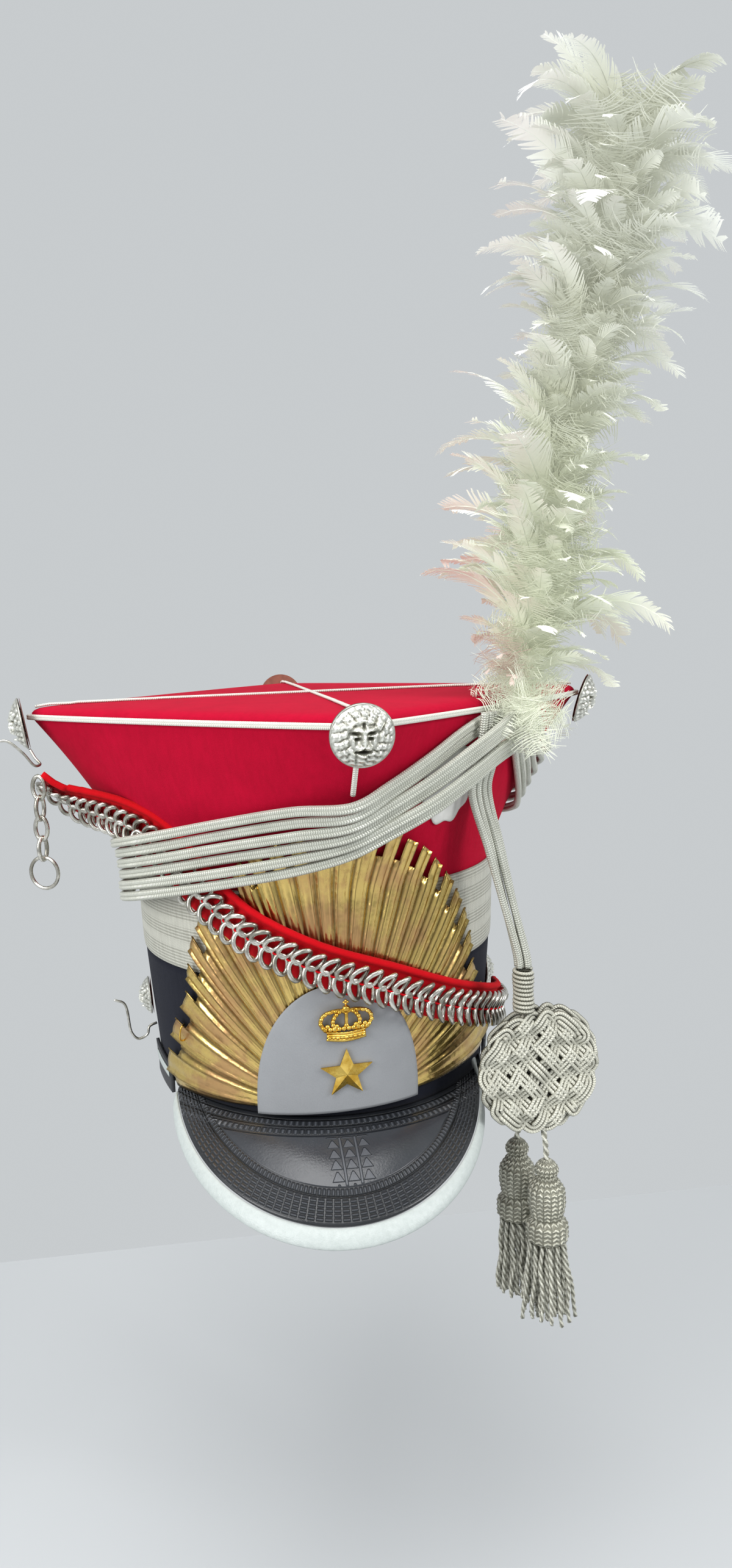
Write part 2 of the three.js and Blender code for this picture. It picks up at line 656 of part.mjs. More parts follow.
function hangingCord(index) {
  const spread = (index - (hanging.count - 1) / 2) * hanging.spacing;
  const points = hangingRoute.map(({ azimuth, level, offset }) => (
    lineSpot({ azimuth: azimuth + spread * hanging.degreesPerMm, level, offset })
  ));
  const last = points[points.length - 1];
  const reach = (hanging.diameter + clearance) / 2;
  const [left, right] = [-reach, reach];
  const foot = gather.clone().add(vector(index < 2 ? left : right, index % 2 ? right : left, clearance));
  const lead = foot.clone().add(vector(-hanging.leadBack, 0, hanging.lead));
  points.push(last.clone().lerp(lead, 1 / 3), last.clone().lerp(lead, 2 / 3), lead, foot);
  return tube(points, hanging.diameter, hanging.steps, hanging.sides);
}

function whippingRoll() {
  const valley = whipping.radius * whipping.groove;
  const pitch = whipping.length / whipping.ridges;
  const rows = [[0, 0]];
  for (let ridge = 0; ridge < whipping.ridges; ridge++) {
    rows.push([valley, -pitch * ridge], [whipping.radius, -pitch * (ridge + 0.5)]);
  }
  rows.push([valley, -whipping.length], [0, -whipping.length]);
  return lathe(rows, whipping.columns).rotateX(Math.PI / 2).translate(gather.x, gather.y, gather.z);
}

// How deep a wavy edge is cut at an azimuth, 0 on a lobe and 1 between two.
const scallop = (lobes, azimuth) => 0.5 - 0.5 * Math.cos(lobes * radians(azimuth));

// A knotted mat of cord: a thin disc with a scalloped edge.
function matDisc() {
  const rows = [
    { share: 0, side: -1 }, { share: 0.9, side: -1 }, { share: 1, side: 0 }, { share: 0.9, side: 1 },
    { share: 0, side: 1 },
  ];
  return turned(rows, mat.columnsPerLobe * mat.lobes, ({ share, side }, azimuth) => {
    const angle = radians(azimuth);
    const radius = share * (mat.radius - mat.lobeDepth * scallop(mat.lobes, azimuth));
    return vector(radius * Math.sin(angle), side * mat.thickness / 2, radius * Math.cos(angle) * mat.squash);
  });
}

function tasselBody() {
  const { knot, neck, body, collar, knotLength, bodyLength, collarLength } = tassel;
  const waist = knotLength + bodyLength;
  const rows = [
    { radius: 0, fall: 0 }, { radius: 0.7 * knot, fall: 0.1 * knotLength },
    { radius: knot, fall: 0.5 * knotLength }, { radius: neck, fall: knotLength },
    { radius: body, fall: knotLength + 0.3 * bodyLength },
    { radius: body, fall: knotLength + 0.8 * bodyLength },
    { radius: 1.5 * neck, fall: waist }, { radius: collar, fall: waist + 0.25 * collarLength },
    { radius: collar, fall: waist + collarLength }, { radius: 0, fall: waist + collarLength },
  ];
  return lathe(rows.map(({ radius, fall }) => [radius, -fall]), tassel.columns).rotateX(Math.PI / 2);
}

function tasselSkirt() {
  const rows = [
    { share: 0, fall: 0 }, { share: 0.62, fall: 0 }, { share: 0.8, fall: 0.4 }, { share: 1, fall: 1 },
    { share: 0.6, fall: 0.97 }, { share: 0, fall: 0.95 },
  ];
  return turned(rows, 2 * tassel.folds, ({ share, fall }, azimuth) => {
    const angle = radians(azimuth);
    const radius = tassel.skirt * share * (1 - tassel.foldDepth * scallop(tassel.folds, azimuth));
    return vector(radius * Math.sin(angle), -radius * Math.cos(angle), -tassel.skirtLength * fall);
  });
}

// Plume: tiers of curled feather locks on a leaning stem, which is given in shares of its height.
const plumeRoute = [
  { across: 0, back: 0, rise: 0 },
  { across: 0.0049, back: 0, rise: 0.0651 },
  { across: 0.0391, back: 0.0228, rise: 0.1889 },
  { across: 0.07, back: 0.0391, rise: 0.3811 },
  { across: 0.1156, back: 0.0423, rise: 0.5668 },
  { across: 0.1612, back: 0.0423, rise: 0.772 },
  { across: 0.2117, back: 0.0423, rise: 1 },
];
const plumeSpread = [
  { height: 0, reach: 0.1 }, { height: 0.08, reach: 0.45 }, { height: 0.17, reach: 1 },
  { height: 0.3, reach: 0.85 }, { height: 0.5, reach: 0.8 }, { height: 0.7, reach: 0.85 },
  { height: 0.85, reach: 1 }, { height: 1, reach: 0.85 },
];

// Within a tier the locks start near the stem, swell out and curl in again.
const tierRows = [{ rise: 0, lock: 0.6 }, { rise: 0.6, lock: 1 }, { rise: 0.85, lock: 0.85 }];

function plumeWidth(height) {
  const next = Math.max(plumeSpread.findIndex(row => row.height >= height), 1);
  const [low, high] = [plumeSpread[next - 1], plumeSpread[next]];
  return plume.reach * mix(low.reach, high.reach, (height - low.height) / (high.height - low.height));
}

function plumeBody() {
  const foot = lineSpot(plume.foot);
  const stem = new THREE.CatmullRomCurve3(plumeRoute.map(({ across, back, rise }) => (
    vector(across, back, rise).multiplyScalar(plume.length).add(foot)
  )));
  const depth = (1 - plume.firstTier) / plume.tiers;
  const rows = [{ height: 0 }, { height: 0, lock: 0 }, { height: plume.stem, lock: 0 }];
  for (let tier = 0; tier < plume.tiers; tier++) {
    const base = plume.firstTier + depth * tier;
    rows.push(...tierRows.map(({ rise, lock }) => ({ height: base + depth * rise, lock, tier })));
  }
  rows.push({ height: 1 });
  return turned(rows, plume.sides, ({ height, lock, tier = 0 }, azimuth) => {
    const centre = stem.getPointAt(height);
    if (lock === undefined) return centre;
    const angle = radians(azimuth);
    const wave = 1 - plume.hollow * (1 - Math.cos(plume.lobes * angle + plume.twist * tier));
    const radius = Math.max(plume.coreRadius, plumeWidth(height) * lock * wave);
    return centre.add(vector(radius * Math.sin(angle), -radius * Math.cos(angle), 0));
  });
}

// Cockade: a cloth rosette with rounded petals, held flat on the crown by the cap lines.
function cockadeRosette() {
  const rows = [
    { share: 0, side: 0 }, { share: 1, side: 0 }, { share: 1, side: 1 },
    { share: 0.3, side: cockade.dome }, { share: 0, side: cockade.dome },
  ];
  return turned(rows, 2 * cockade.petals, ({ share, side }, azimuth) => {
    const angle = radians(azimuth);
    const radius = cockade.radius * share * (1 - cockade.petalDepth * scallop(cockade.petals, azimuth));
    const level = cockade.level * crownTop + radius * Math.cos(angle);
    const turn = THREE.MathUtils.radToDeg(radius * Math.sin(angle) / (turban.halfLength + cockade.radius));
    return wallPoint(cockade.azimuth + turn, level, cockade.standOff + side * cockade.thickness);
  });
}

// Leather tabs at the ends of the peak.
function peakTab(side) {
  return bent(3, 2, (u, v, w) => {
    const azimuth = side * mix(tab.from, tab.to, u);
    const z = mix(-tab.drop * (1 - tab.taper * u), tab.rise * mix(tab.taper, 1, u), v);
    return wallPoint(azimuth, Math.max(z, 0), clearance + w * tab.thickness).setZ(z);
  });
}

// Bent wire hooks. Their points are in wire diameters from what carries them: the boss or the wall,
// and, by a share, the chain's upper end.
const hookRoutes = {
  corner_hook: [
    { share: 0, across: 1.27, back: -1.89, up: -9.2 },
    { share: 0.5, across: 0.22, back: -2.49, up: -2.67 },
    { share: 1, across: -1.03, back: -2.69, up: 5 },
    { share: 1, across: -2.7, back: -4.02, up: 4.67 },
    { share: 0.5, across: -3.78, back: -4.49, up: -0.33 },
    { share: 0, across: -6.2, back: -4.96, up: -5.67 },
    { share: 0, across: -9.53, back: -4.96, up: -5.67 },
  ],
  left_ear_hook: [
    { share: 0, across: -0.33, back: -0.02, up: 0 },
    { share: 0, across: -3.07, back: -1.02, up: -0.93 },
    { share: 0, across: -4, back: -1.42, up: -3.73 },
    { share: 0, across: -7.33, back: -1.69, up: -5.07 },
    { share: 0, across: -9.6, back: -1.69, up: -2.67 },
    { share: 0, across: -11.73, back: -1.69, up: 8.67 },
    { share: 0, across: -15.33, back: -1.69, up: 10.4 },
  ],
  right_ear_hook: [
    { share: 0, across: 0.53, back: -0.09, up: 0 },
    { share: 0, across: 3.87, back: -0.89, up: -0.33 },
    { share: 0, across: 6.67, back: -2.63, up: -0.07 },
    { share: 0, across: 8.27, back: -3.83, up: 0.33 },
    { share: 0, across: 8.93, back: -4.23, up: 2.47 },
  ],
};
const hookSeats = {
  corner_hook: { azimuth: -90, level: crownTop - mask.belowTop, offset: mask.standOff },
  left_ear_hook: { azimuth: -82, level: wire.leftLevel * crownTop, offset: 0 },
  right_ear_hook: { azimuth: 80.4, level: wire.rightLevel * crownTop, offset: 0 },
};

function bentHook(name) {
  const { azimuth, level, offset } = hookSeats[name];
  const seat = wallPoint(azimuth, level, offset);
  const points = hookRoutes[name].map(({ share, across, back, up }) => (
    seat.clone().lerp(chainSpot(chainRoute[0]), share)
      .addScaledVector(vector(across, back, up), wire.diameter)
  ));
  return tube(points, wire.diameter, wire.stepsPerPoint * points.length, wire.sides);
}

function corded(name, geometry) {
  return add(name, geometry, material.silverCord);
}

// A mat hangs by its top, turned a little to the side, with its own tassel cord and tassel below.
function matAndTassel(tag, centre, tasselTop) {
  const disc = corded(`cord_mat_${tag}`, matDisc());
  disc.position.copy(centre);
  disc.rotation.z = radians(mat.turn);
  const foot = centre.clone().add(vector(0, 0, -matFoot));
  const head = tasselTop.clone().add(vector(0, 0, tassel.headGap));
  const sway = foot.clone().lerp(head, 0.5).add(vector(tassel.sway, 0, 0));
  corded(`tassel_cord_${tag}`, tube([foot, sway, head], tassel.cord, tassel.cordSteps, tassel.cordSides));
  corded(`tassel_head_${tag}`, tasselBody()).position.copy(tasselTop);
  const length = tassel.knotLength + tassel.bodyLength + tassel.collarLength + clearance;
  corded(`tassel_skirt_${tag}`, tasselSkirt()).position.copy(tasselTop).add(vector(0, 0, -length));
}

// Everything, added piece by piece.
add('turban', turbanWall(), material.navyCloth);
add('crown_cloth', crownWall(), material.redCloth);
add('lace_band', laceBand(), material.silverLace);
add('edge_piping', edgePiping(), material.whitePiping);
add('front_piping', cornerPiping(0, piping.hiddenBelowFront, piping.high), material.whitePiping);
add('back_piping', cornerPiping(180, piping.hiddenBelowBack, piping.high), material.whitePiping);
add('top_piping', topPiping(), material.whitePiping);

add('peak', peakLeather(), material.blackLeather);
add('peak_binding', peakBinding(), material.whiteLeather);
add('left_peak_tab', peakTab(-1), material.blackLeather);
add('right_peak_tab', peakTab(1), material.blackLeather);

add('sunburst_plate', rayedPlate(), material.brass);
add('centre_plate', shieldPlate(), material.greyLeather);
add('crown_badge', badgeOn(crownShape(), badge.crownLevel), material.gilt);
add('star_badge', badgeOn(starShape(), badge.starLevel), material.gilt);

const cornerMasks = {
  front_boss: { azimuth: 0, turn: 0, tilt: mask.tilt },
  left_boss: { azimuth: -90, turn: 0, tilt: mask.tilt },
  right_boss: { azimuth: 90, turn: mask.rightTurn, tilt: mask.rightTilt },
  back_boss: { azimuth: 180, turn: 0, tilt: mask.tilt },
};
for (const [name, { azimuth, turn, tilt }] of Object.entries(cornerMasks)) {
  const face = lionMask(mask.radius, mask.height, mask.columns);
  const mesh = placeMask(name, azimuth, crownTop - mask.belowTop, mask.standOff, tilt, face);
  mesh.rotation.z += radians(turn);
}
const earMasks = { left_ear_boss: -mask.earAzimuth, right_ear_boss: mask.earAzimuth };
for (const [name, azimuth] of Object.entries(earMasks)) {
  const face = lionMask(mask.earRadius, mask.earHeight, mask.earColumns);
  placeMask(name, azimuth, mask.earLevel * crownTop, mask.earStandOff, mask.earTilt, face);
}
for (const name of Object.keys(hookRoutes)) {
  add(name, bentHook(name), material.steel);
}

const chainFoot = strap.thickness + strap.gap;
const chainSides = [-strap.chainWidth / 2, strap.chainWidth / 2];
add('chain_strap', chainStrip([-strap.lower, strap.upper], 0, strap.thickness), material.redFelt);
add('chin_chain', chainStrip(chainSides, chainFoot, chainFoot + strap.chainThickness), material.steel);
add('chain_tail', chainTail(), material.steel);

add('cockade', cockadeRosette(), material.whiteCotton);
for (let index = 0; index < line.count; index++) {
  corded(`cap_line_${index + 1}`, capLine(index));
}
for (let index = 0; index < hanging.count; index++) {
  corded(`hanging_cord_${index + 1}`, hangingCord(index));
}
corded('whipping', whippingRoll());
const rearCentre = matCentre.clone().add(vector(mat.rearAside, mat.thickness + mat.gap, mat.rearRise));
matAndTassel('front', matCentre, tasselTops.front);
matAndTassel('rear', rearCentre, tasselTops.rear);
add('plume', plumeBody(), material.feather);

export default cap;
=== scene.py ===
# %% [markdown]
# # A lancer's cap with plume, plate and cap lines
#
# The cap's solids come packed from the CAD model, and this lesson dresses them: each cell says what a
# piece is on the real cap, how it could be made, and why it is made the way it is here.
# All the shapes are worked out in millimetres and made metres in the last step of each piece,
# because a hatter's sizes are easier to read that way. +Z is up and the front of the cap faces -Y.

# %% Load the frame and note its box
import math
import random

import bmesh
import bpy
from mathutils import Matrix, Vector, kdtree, noise


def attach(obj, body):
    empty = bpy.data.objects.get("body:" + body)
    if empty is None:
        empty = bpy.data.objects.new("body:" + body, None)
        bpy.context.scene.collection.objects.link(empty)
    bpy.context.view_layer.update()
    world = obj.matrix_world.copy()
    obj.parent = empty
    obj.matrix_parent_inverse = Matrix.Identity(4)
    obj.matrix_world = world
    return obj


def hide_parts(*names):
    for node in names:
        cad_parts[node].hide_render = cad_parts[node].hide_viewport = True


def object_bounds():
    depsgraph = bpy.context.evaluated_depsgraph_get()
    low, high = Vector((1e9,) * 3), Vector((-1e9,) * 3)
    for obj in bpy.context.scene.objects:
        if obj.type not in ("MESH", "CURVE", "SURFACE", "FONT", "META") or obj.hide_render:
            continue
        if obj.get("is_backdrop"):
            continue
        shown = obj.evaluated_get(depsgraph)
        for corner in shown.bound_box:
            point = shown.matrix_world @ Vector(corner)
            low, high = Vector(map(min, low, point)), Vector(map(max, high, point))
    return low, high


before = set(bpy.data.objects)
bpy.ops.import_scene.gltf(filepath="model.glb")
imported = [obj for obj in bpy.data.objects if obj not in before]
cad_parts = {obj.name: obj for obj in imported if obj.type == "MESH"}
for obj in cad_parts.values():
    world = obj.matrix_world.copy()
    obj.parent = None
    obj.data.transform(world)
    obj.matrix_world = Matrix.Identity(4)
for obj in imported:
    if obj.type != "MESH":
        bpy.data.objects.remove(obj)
cad_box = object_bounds()
scene = bpy.context.scene
MM = 0.001
TURN = 2 * math.pi
forward, upward, downward = Vector((0, -1, 0)), Vector((0, 0, 1)), Vector((0, 0, -1))
chance = random.Random(7)
print("frame:", len(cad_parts), "nodes")

# %% [markdown]
# ## The camera
# The photograph was taken from a little above the brim, slightly to the cap's right side, and quite
# close, so the perspective is strong. The camera looks level towards the axis of the cap, then tips
# down and rolls by a small amount. The picture is tall, so the lens is measured along its height.

# %% Camera
camera_data = bpy.data.cameras.new("camera")
photo_height, focal_pixels, pixels_off_centre = 2570, 1843, 89.4
camera_data.sensor_fit = "VERTICAL"
camera_data.sensor_height = 36
camera_data.lens = camera_data.sensor_height * focal_pixels / photo_height
camera_data.shift_x = pixels_off_centre / photo_height
camera_data.clip_start = 0.02
camera = bpy.data.objects.new("camera", camera_data)
scene.collection.objects.link(camera)
scene.camera = camera
heading, distance, eye_level = math.radians(-7.6), 628, 237.9
pitch, roll = 0.14, -0.036
eye = Vector((math.sin(heading) * distance, -math.cos(heading) * distance, eye_level))
camera.matrix_world = (
    Matrix.Translation(eye * MM)
    @ Matrix.Rotation(heading, 4, "Z")
    @ Matrix.Rotation(math.pi / 2 - pitch, 4, "X")
    @ Matrix.Rotation(roll, 4, "Z")
)
print("camera at", [round(x, 3) for x in camera.matrix_world.translation])

# %% [markdown]
# ## The cap's surface as a function
# Nearly everything on the cap lies on its wall, so the wall is written down once: at each height the
# outline is an oval, and above the lace it opens into a square that stands on its corner. A point is
# then named by its azimuth, 0 at the front and 90 at +X, its height, and how far it stands off.


# %% The wall
lace_foot, lace_top, crown_top = 67, 112, 195
head_width, head_length = 92, 98
turban_spread, lace_spread = 5.5, 1.5
waist_width, waist_length = head_width + turban_spread, head_length + turban_spread
top_width, top_length, top_shift = 150, 148, -12
oval, squareness = 2, 0.93
askew = math.radians(3)


def mix(a, b, share):
    return a + (b - a) * share


def outline(z):
    """Half the width and length at a height, the power of the curve, and how far it sits forward."""
    if z <= lace_foot:
        spread = turban_spread * z / lace_foot
        return head_width + spread, head_length + spread, oval, 0
    if z <= lace_top:
        spread = lace_spread * (z - lace_foot) / (lace_top - lace_foot)
        return waist_width + spread, waist_length + spread, oval, 0
    share = min((z - lace_top) / (crown_top - lace_top), 1)
    spread = share**1.25
    half_width = mix(waist_width + lace_spread, top_width, spread)
    half_length = mix(waist_length + lace_spread, top_length, spread)
    return half_width, half_length, oval - squareness * share**0.7, top_shift * share


def wall(azimuth, z, offset=0.0, share=1.0):
    """A point at a share of the way out from the cap's axis, then offset beyond it."""
    half_width, half_length, power, shift = outline(z)
    angle = math.radians(azimuth)
    across = abs(math.sin(angle) / half_width) ** power
    along = abs(math.cos(angle) / half_length) ** power
    radius = (across + along) ** (-1 / power) * share + offset
    return Vector((radius * math.sin(angle), shift - radius * math.cos(angle), z))


def wall_normal(azimuth, z):
    around = wall(azimuth + 1, z) - wall(azimuth - 1, z)
    return around.cross(wall(azimuth, z + 1) - wall(azimuth, z - 1)).normalized()


def on_front(along, z, offset, azimuth=-3):
    """A point laid on the front by its distance along the wall; the front is sewn on a little askew."""
    degrees = azimuth + math.degrees(along / waist_length)
    return wall(degrees, z + along * math.tan(askew), offset)


def rim_level(azimuth):
    """The turban's lower edge dips towards the front."""
    front_dip = 4.6
    return -front_dip * (1 + math.cos(math.radians(azimuth))) / 2


print("corner of the top at", [round(x) for x in wall(0, crown_top)])

# %% [markdown]
# ## Helpers for shapes
# A sheet, a shell and a cord are all a grid whose points are moved: the grid operator makes the faces
# and the UV map, and a function says where each point goes. A seam or a pole is closed by merging
# the points that fall together. A cord's grid is wrapped round a smooth line.


# %% Grids, lines and finished pieces
def laid(columns, rows, place, shell=False):
    """A grid moved to place(u, v), where u and v run from 0 to 1. A shell is closed and faces out."""
    bm = bmesh.new()
    bm.loops.layers.uv.new("UVMap")
    bmesh.ops.create_grid(bm, x_segments=columns, y_segments=rows, size=0.5, calc_uvs=True)
    for vert in bm.verts:
        vert.co = place(vert.co.x + 0.5, vert.co.y + 0.5)
    bmesh.ops.remove_doubles(bm, verts=bm.verts, dist=1e-4)
    if shell:
        edges = [edge for edge in bm.edges if edge.is_boundary]
        bmesh.ops.holes_fill(bm, edges=edges, sides=0)
        bmesh.ops.recalc_face_normals(bm, faces=bm.faces)
    return bm


def cut_away(bm, gone):
    """Deletes each face whose middle on the UV map is gone(u, v)."""
    layer = bm.loops.layers.uv.active
    faces = []
    for face in bm.faces:
        spots = [loop[layer].uv for loop in face.loops]
        if gone(sum(spot[0] for spot in spots) / len(spots), sum(spot[1] for spot in spots) / len(spots)):
            faces.append(face)
    bmesh.ops.delete(bm, geom=faces, context="FACES")


def scaled_uv(bm, across, along):
    """Turns a UV map of shares into one in millimetres."""
    layer = bm.loops.layers.uv.active
    for face in bm.faces:
        for loop in face.loops:
            loop[layer].uv = (loop[layer].uv[0] * across, loop[layer].uv[1] * along)
    return bm


def gathered(parts):
    """Joins several small meshes into one."""
    whole = bmesh.new()
    for part in parts:
        mesh = bpy.data.meshes.new("part")
        part.to_mesh(mesh)
        part.free()
        whole.from_mesh(mesh)
        bpy.data.meshes.remove(mesh)
    return whole


def between(a, b, start, end, t):
    return a.lerp(b, (t - start) / (end - start))


def smooth_line(points, steps):
    """Points spread evenly along a smooth curve through the given ones."""
    ends = [points[0] * 2 - points[1], *points, points[-1] * 2 - points[-2]]
    fine = []
    for a, b, c, d in zip(ends, ends[1:], ends[2:], ends[3:]):
        knots = [0.0]
        for one, other in ((a, b), (b, c), (c, d)):
            knots.append(knots[-1] + max((other - one).length, 1e-6) ** 0.5)
        start, low, high, end = knots
        for step in range(24):
            t = mix(low, high, step / 24)
            first = between(a, b, start, low, t)
            second = between(b, c, low, high, t)
            third = between(c, d, high, end, t)
            left = between(first, second, start, high, t)
            right = between(second, third, low, end, t)
            fine.append(between(left, right, low, high, t))
    fine.append(points[-1])
    return spread_evenly(fine, steps)


def spread_evenly(fine, steps):
    lengths = [0.0]
    for a, b in zip(fine, fine[1:]):
        lengths.append(lengths[-1] + (b - a).length)
    even, spot = [], 0
    for step in range(steps + 1):
        goal = lengths[-1] * step / steps
        while spot < len(fine) - 2 and lengths[spot + 1] < goal:
            spot += 1
        gap = max(lengths[spot + 1] - lengths[spot], 1e-9)
        even.append(fine[spot].lerp(fine[spot + 1], min((goal - lengths[spot]) / gap, 1)))
    return even


def frames_along(line, lean=None):
    """Each point of a line with two directions square to it, the second towards lean(point)."""
    rows, out = [], Vector((0, 0, 1))
    for step, point in enumerate(line):
        run = (line[min(step + 1, len(line) - 1)] - line[max(step - 1, 0)]).normalized()
        if step == 0 and abs(run.z) > 0.9:
            out = Vector((0, -1, 0))
        side = run.cross(lean(point) if lean else out).normalized()
        out = side.cross(run).normalized()
        rows.append((point, side, out))
    return rows


def length_of(line):
    return sum((b - a).length for a, b in zip(line, line[1:]))


def corded(line, section, columns, lean=None):
    """A cord of a given section along a line. Its UV map is one turn round and millimetres along."""
    rows = frames_along(line, lean)
    steps = len(line) - 1

    def place(u, v):
        point, side, out = rows[round(v * steps)]
        across, up = section(TURN * u, v)
        return point + side * across + out * up

    return scaled_uv(laid(columns, steps, place, shell=True), 1, length_of(line))


def round_section(radius, end=None):
    """A round section, whose radius may change evenly towards the end of the cord."""

    def section(angle, v):
        here = radius if end is None else mix(radius, end, v)
        return here * math.cos(angle), here * math.sin(angle)

    return section


def double_ridge(half_height, depth, groove=0.42):
    """A flat braid with two ridges: an oval with a furrow down the middle of each side."""

    def section(angle, v):
        up, out = math.cos(angle), math.sin(angle)
        return half_height * up, depth * out * (1 - groove * math.exp(-((up / 0.26) ** 2)))

    return section


def outward(point):
    """Straight out from the axis of the cap."""
    return Vector((point.x, point.y, 0)).normalized()


def finished(name, bm, finish, replaces=(), thickness=0):
    """The last step of a piece: millimetres to metres, a finish, and what it stands for."""
    bmesh.ops.scale(bm, vec=Vector((MM, MM, MM)), verts=bm.verts)
    mesh = bpy.data.meshes.new(name)
    bm.to_mesh(mesh)
    bm.free()
    mesh.shade_smooth()
    mesh.materials.append(finish.material)
    piece = bpy.data.objects.new(name, mesh)
    scene.collection.objects.link(piece)
    if thickness:
        sheet = piece.modifiers.new("thickness", "SOLIDIFY")
        sheet.thickness = thickness * MM
        sheet.offset = -1
    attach(piece, "root")
    if replaces:
        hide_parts(*replaces)
    print(f"{name}: {sum(len(p.vertices) - 2 for p in mesh.polygons)} triangles before modifiers")
    return piece


# %% [markdown]
# ## Shader maths in plain Python
# A finish is a Principled shader with patterns before it. A pattern is arithmetic on coordinates, so a
# small class wraps a socket and gives it plus, minus and times: each expression adds its own Math node.
# Everything else comes from one method that takes a node's type, its settings and its inputs.


# %% The socket wrapper and the finish
class Shade:
    """A number or a colour that changes over a surface."""

    def __init__(self, finish, socket):
        self.finish, self.socket = finish, socket

    def maths(self, operation, *others):
        return self.finish.node("ShaderNodeMath", {"operation": operation}, dict(enumerate((self, *others))))

    def __add__(self, other):
        return self.maths("ADD", other)

    def __sub__(self, other):
        return self.maths("SUBTRACT", other)

    def __rsub__(self, other):
        return (self * -1) + other

    def __mul__(self, other):
        return self.maths("MULTIPLY", other)

    def __truediv__(self, other):
        return self.maths("DIVIDE", other)

    __radd__ = __add__

    def wave(self):
        """A smooth wave of the number, once per unit, from 0 to 1."""
        return (self * TURN).maths("SINE") * 0.5 + 0.5

    def part(self):
        """What is left over after whole units."""
        return self.maths("FRACT")

    def size(self):
        return self.maths("ABSOLUTE")

    def within(self, low, high, soft=0.0):
        """1 between low and high and 0 outside, with a soft edge."""
        rise = self.finish.ramp(self, low - soft, low + soft)
        return rise * (1 - self.finish.ramp(self, high - soft, high + soft))


class Finish:
    """A material in the making."""

    def __init__(self, name, colour, roughness=0.5, metallic=0.0, **fixed):
        self.material = bpy.data.materials.new(name)
        self.material.use_nodes = True
        self.material.diffuse_color = (*colour, 1)
        self.tree = self.material.node_tree
        self.shader = self.tree.nodes["Principled BSDF"]
        self.shader.inputs["Base Color"].default_value = (*colour, 1)
        self.shader.inputs["Roughness"].default_value = roughness
        self.shader.inputs["Metallic"].default_value = metallic
        for socket, value in fixed.items():
            self.shader.inputs[socket.replace("_", " ")].default_value = value

    def node(self, kind, settings=None, inputs=None, output=0):
        made = self.tree.nodes.new(kind)
        for key, value in (settings or {}).items():
            setattr(made, key, value)
        for key, value in (inputs or {}).items():
            if isinstance(value, Shade):
                self.tree.links.new(value.socket, made.inputs[key])
            elif isinstance(value, tuple) and made.inputs[key].type == "RGBA":
                made.inputs[key].default_value = (*value, 1)
            else:
                made.inputs[key].default_value = value
        return Shade(self, made.outputs[output])

    def place(self):
        return self.node("ShaderNodeTexCoord", output="Object")

    def uv(self, axis):
        return self.axis(self.node("ShaderNodeTexCoord", output="UV"), axis)

    def axis(self, vector, axis):
        return self.node("ShaderNodeSeparateXYZ", inputs={0: vector}, output=axis)

    def stretched(self, vector, *scale):
        return self.node("ShaderNodeVectorMath", {"operation": "MULTIPLY"}, {0: vector, 1: scale})

    def vector(self, x, y, z=0.0):
        return self.node("ShaderNodeCombineXYZ", inputs={0: x, 1: y, 2: z})

    def measure(self, name):
        return self.node("ShaderNodeAttribute", {"attribute_name": name}, output="Fac")

    def cloud(self, scale, detail=2.0, roughness=0.5, where=None):
        inputs = {"Vector": where or self.place(), "Scale": scale, "Detail": detail, "Roughness": roughness}
        return self.node("ShaderNodeTexNoise", inputs=inputs)

    def cells(self, scale):
        return self.node("ShaderNodeTexVoronoi", inputs={"Vector": self.place(), "Scale": scale})

    def ramp(self, value, low, high, start=0.0, end=1.0):
        inputs = {"Value": value, "From Min": low, "From Max": high, "To Min": start, "To Max": end}
        return self.node("ShaderNodeMapRange", {"interpolation_type": "SMOOTHSTEP"}, inputs)

    def tint(self, share, colour, other):
        return self.node("ShaderNodeMix", {"data_type": "RGBA"}, {0: share, 6: colour, 7: other}, 2)

    def give(self, socket, value):
        self.tree.links.new(value.socket, self.shader.inputs[socket])
        return self

    def tinted(self, share, colour, other):
        return self.give("Base Color", self.tint(share, colour, other))

    def roughened(self, value, low, high, start, end):
        return self.give("Roughness", self.ramp(value, low, high, start, end))

    def bump(self, height, distance):
        """Raises the surface by height, a share of distance in millimetres."""
        inputs = {"Height": height, "Distance": distance * MM, "Strength": 1.0}
        return self.give("Normal", self.node("ShaderNodeBump", inputs=inputs))


# %% [markdown]
# ## Finishes for cloth, cord and leather
# The cords are braids of silver thread: small chevrons that run along the cord, with a dull metal gleam.
# The pattern follows the cord's own UV map, so it bends with the cord. Its colour follows the chevrons'
# relief: the low parts and the seams between lanes are painted darker, as painted shade. Where thin
# strands lie side by side, their crests are painted light and the grooves between them painted dark.


# %% Braid finishes
def braid(name, dark, light, pitch=1.15, lanes=6, metallic=0.3, depth=0.3, shaded_grooves=False):
    roughness = 0.42
    finish = Finish(name, light, roughness, metallic)
    lane = ((finish.uv("X") * lanes).part() - 0.5).size()
    chevron = (finish.uv("Y") / pitch + lane * 0.9).wave()
    seam = finish.ramp(lane, 0.0, 0.12)
    worn = finish.cloud(90, 3)
    height = chevron * seam
    finish.bump(height, depth)
    # Painted shade: the colour follows the braid's relief, darker in its low parts and seams, mixed with a
    # random worn tone.
    share = height * 0.7 + worn * 0.5 - 0.1
    # Painted shade: each strand's crest is painted light and its sides dark, so the grooves between strands
    # look shaded.
    if shaded_grooves:
        share = (share * 0.5 + 0.5) * finish.ramp(finish.uv("X").wave(), 0.5, 0.97)
    finish.tinted(share, dark, light)
    finish.roughened(worn, 0.3, 0.7, roughness + 0.12, roughness - 0.1)
    return finish


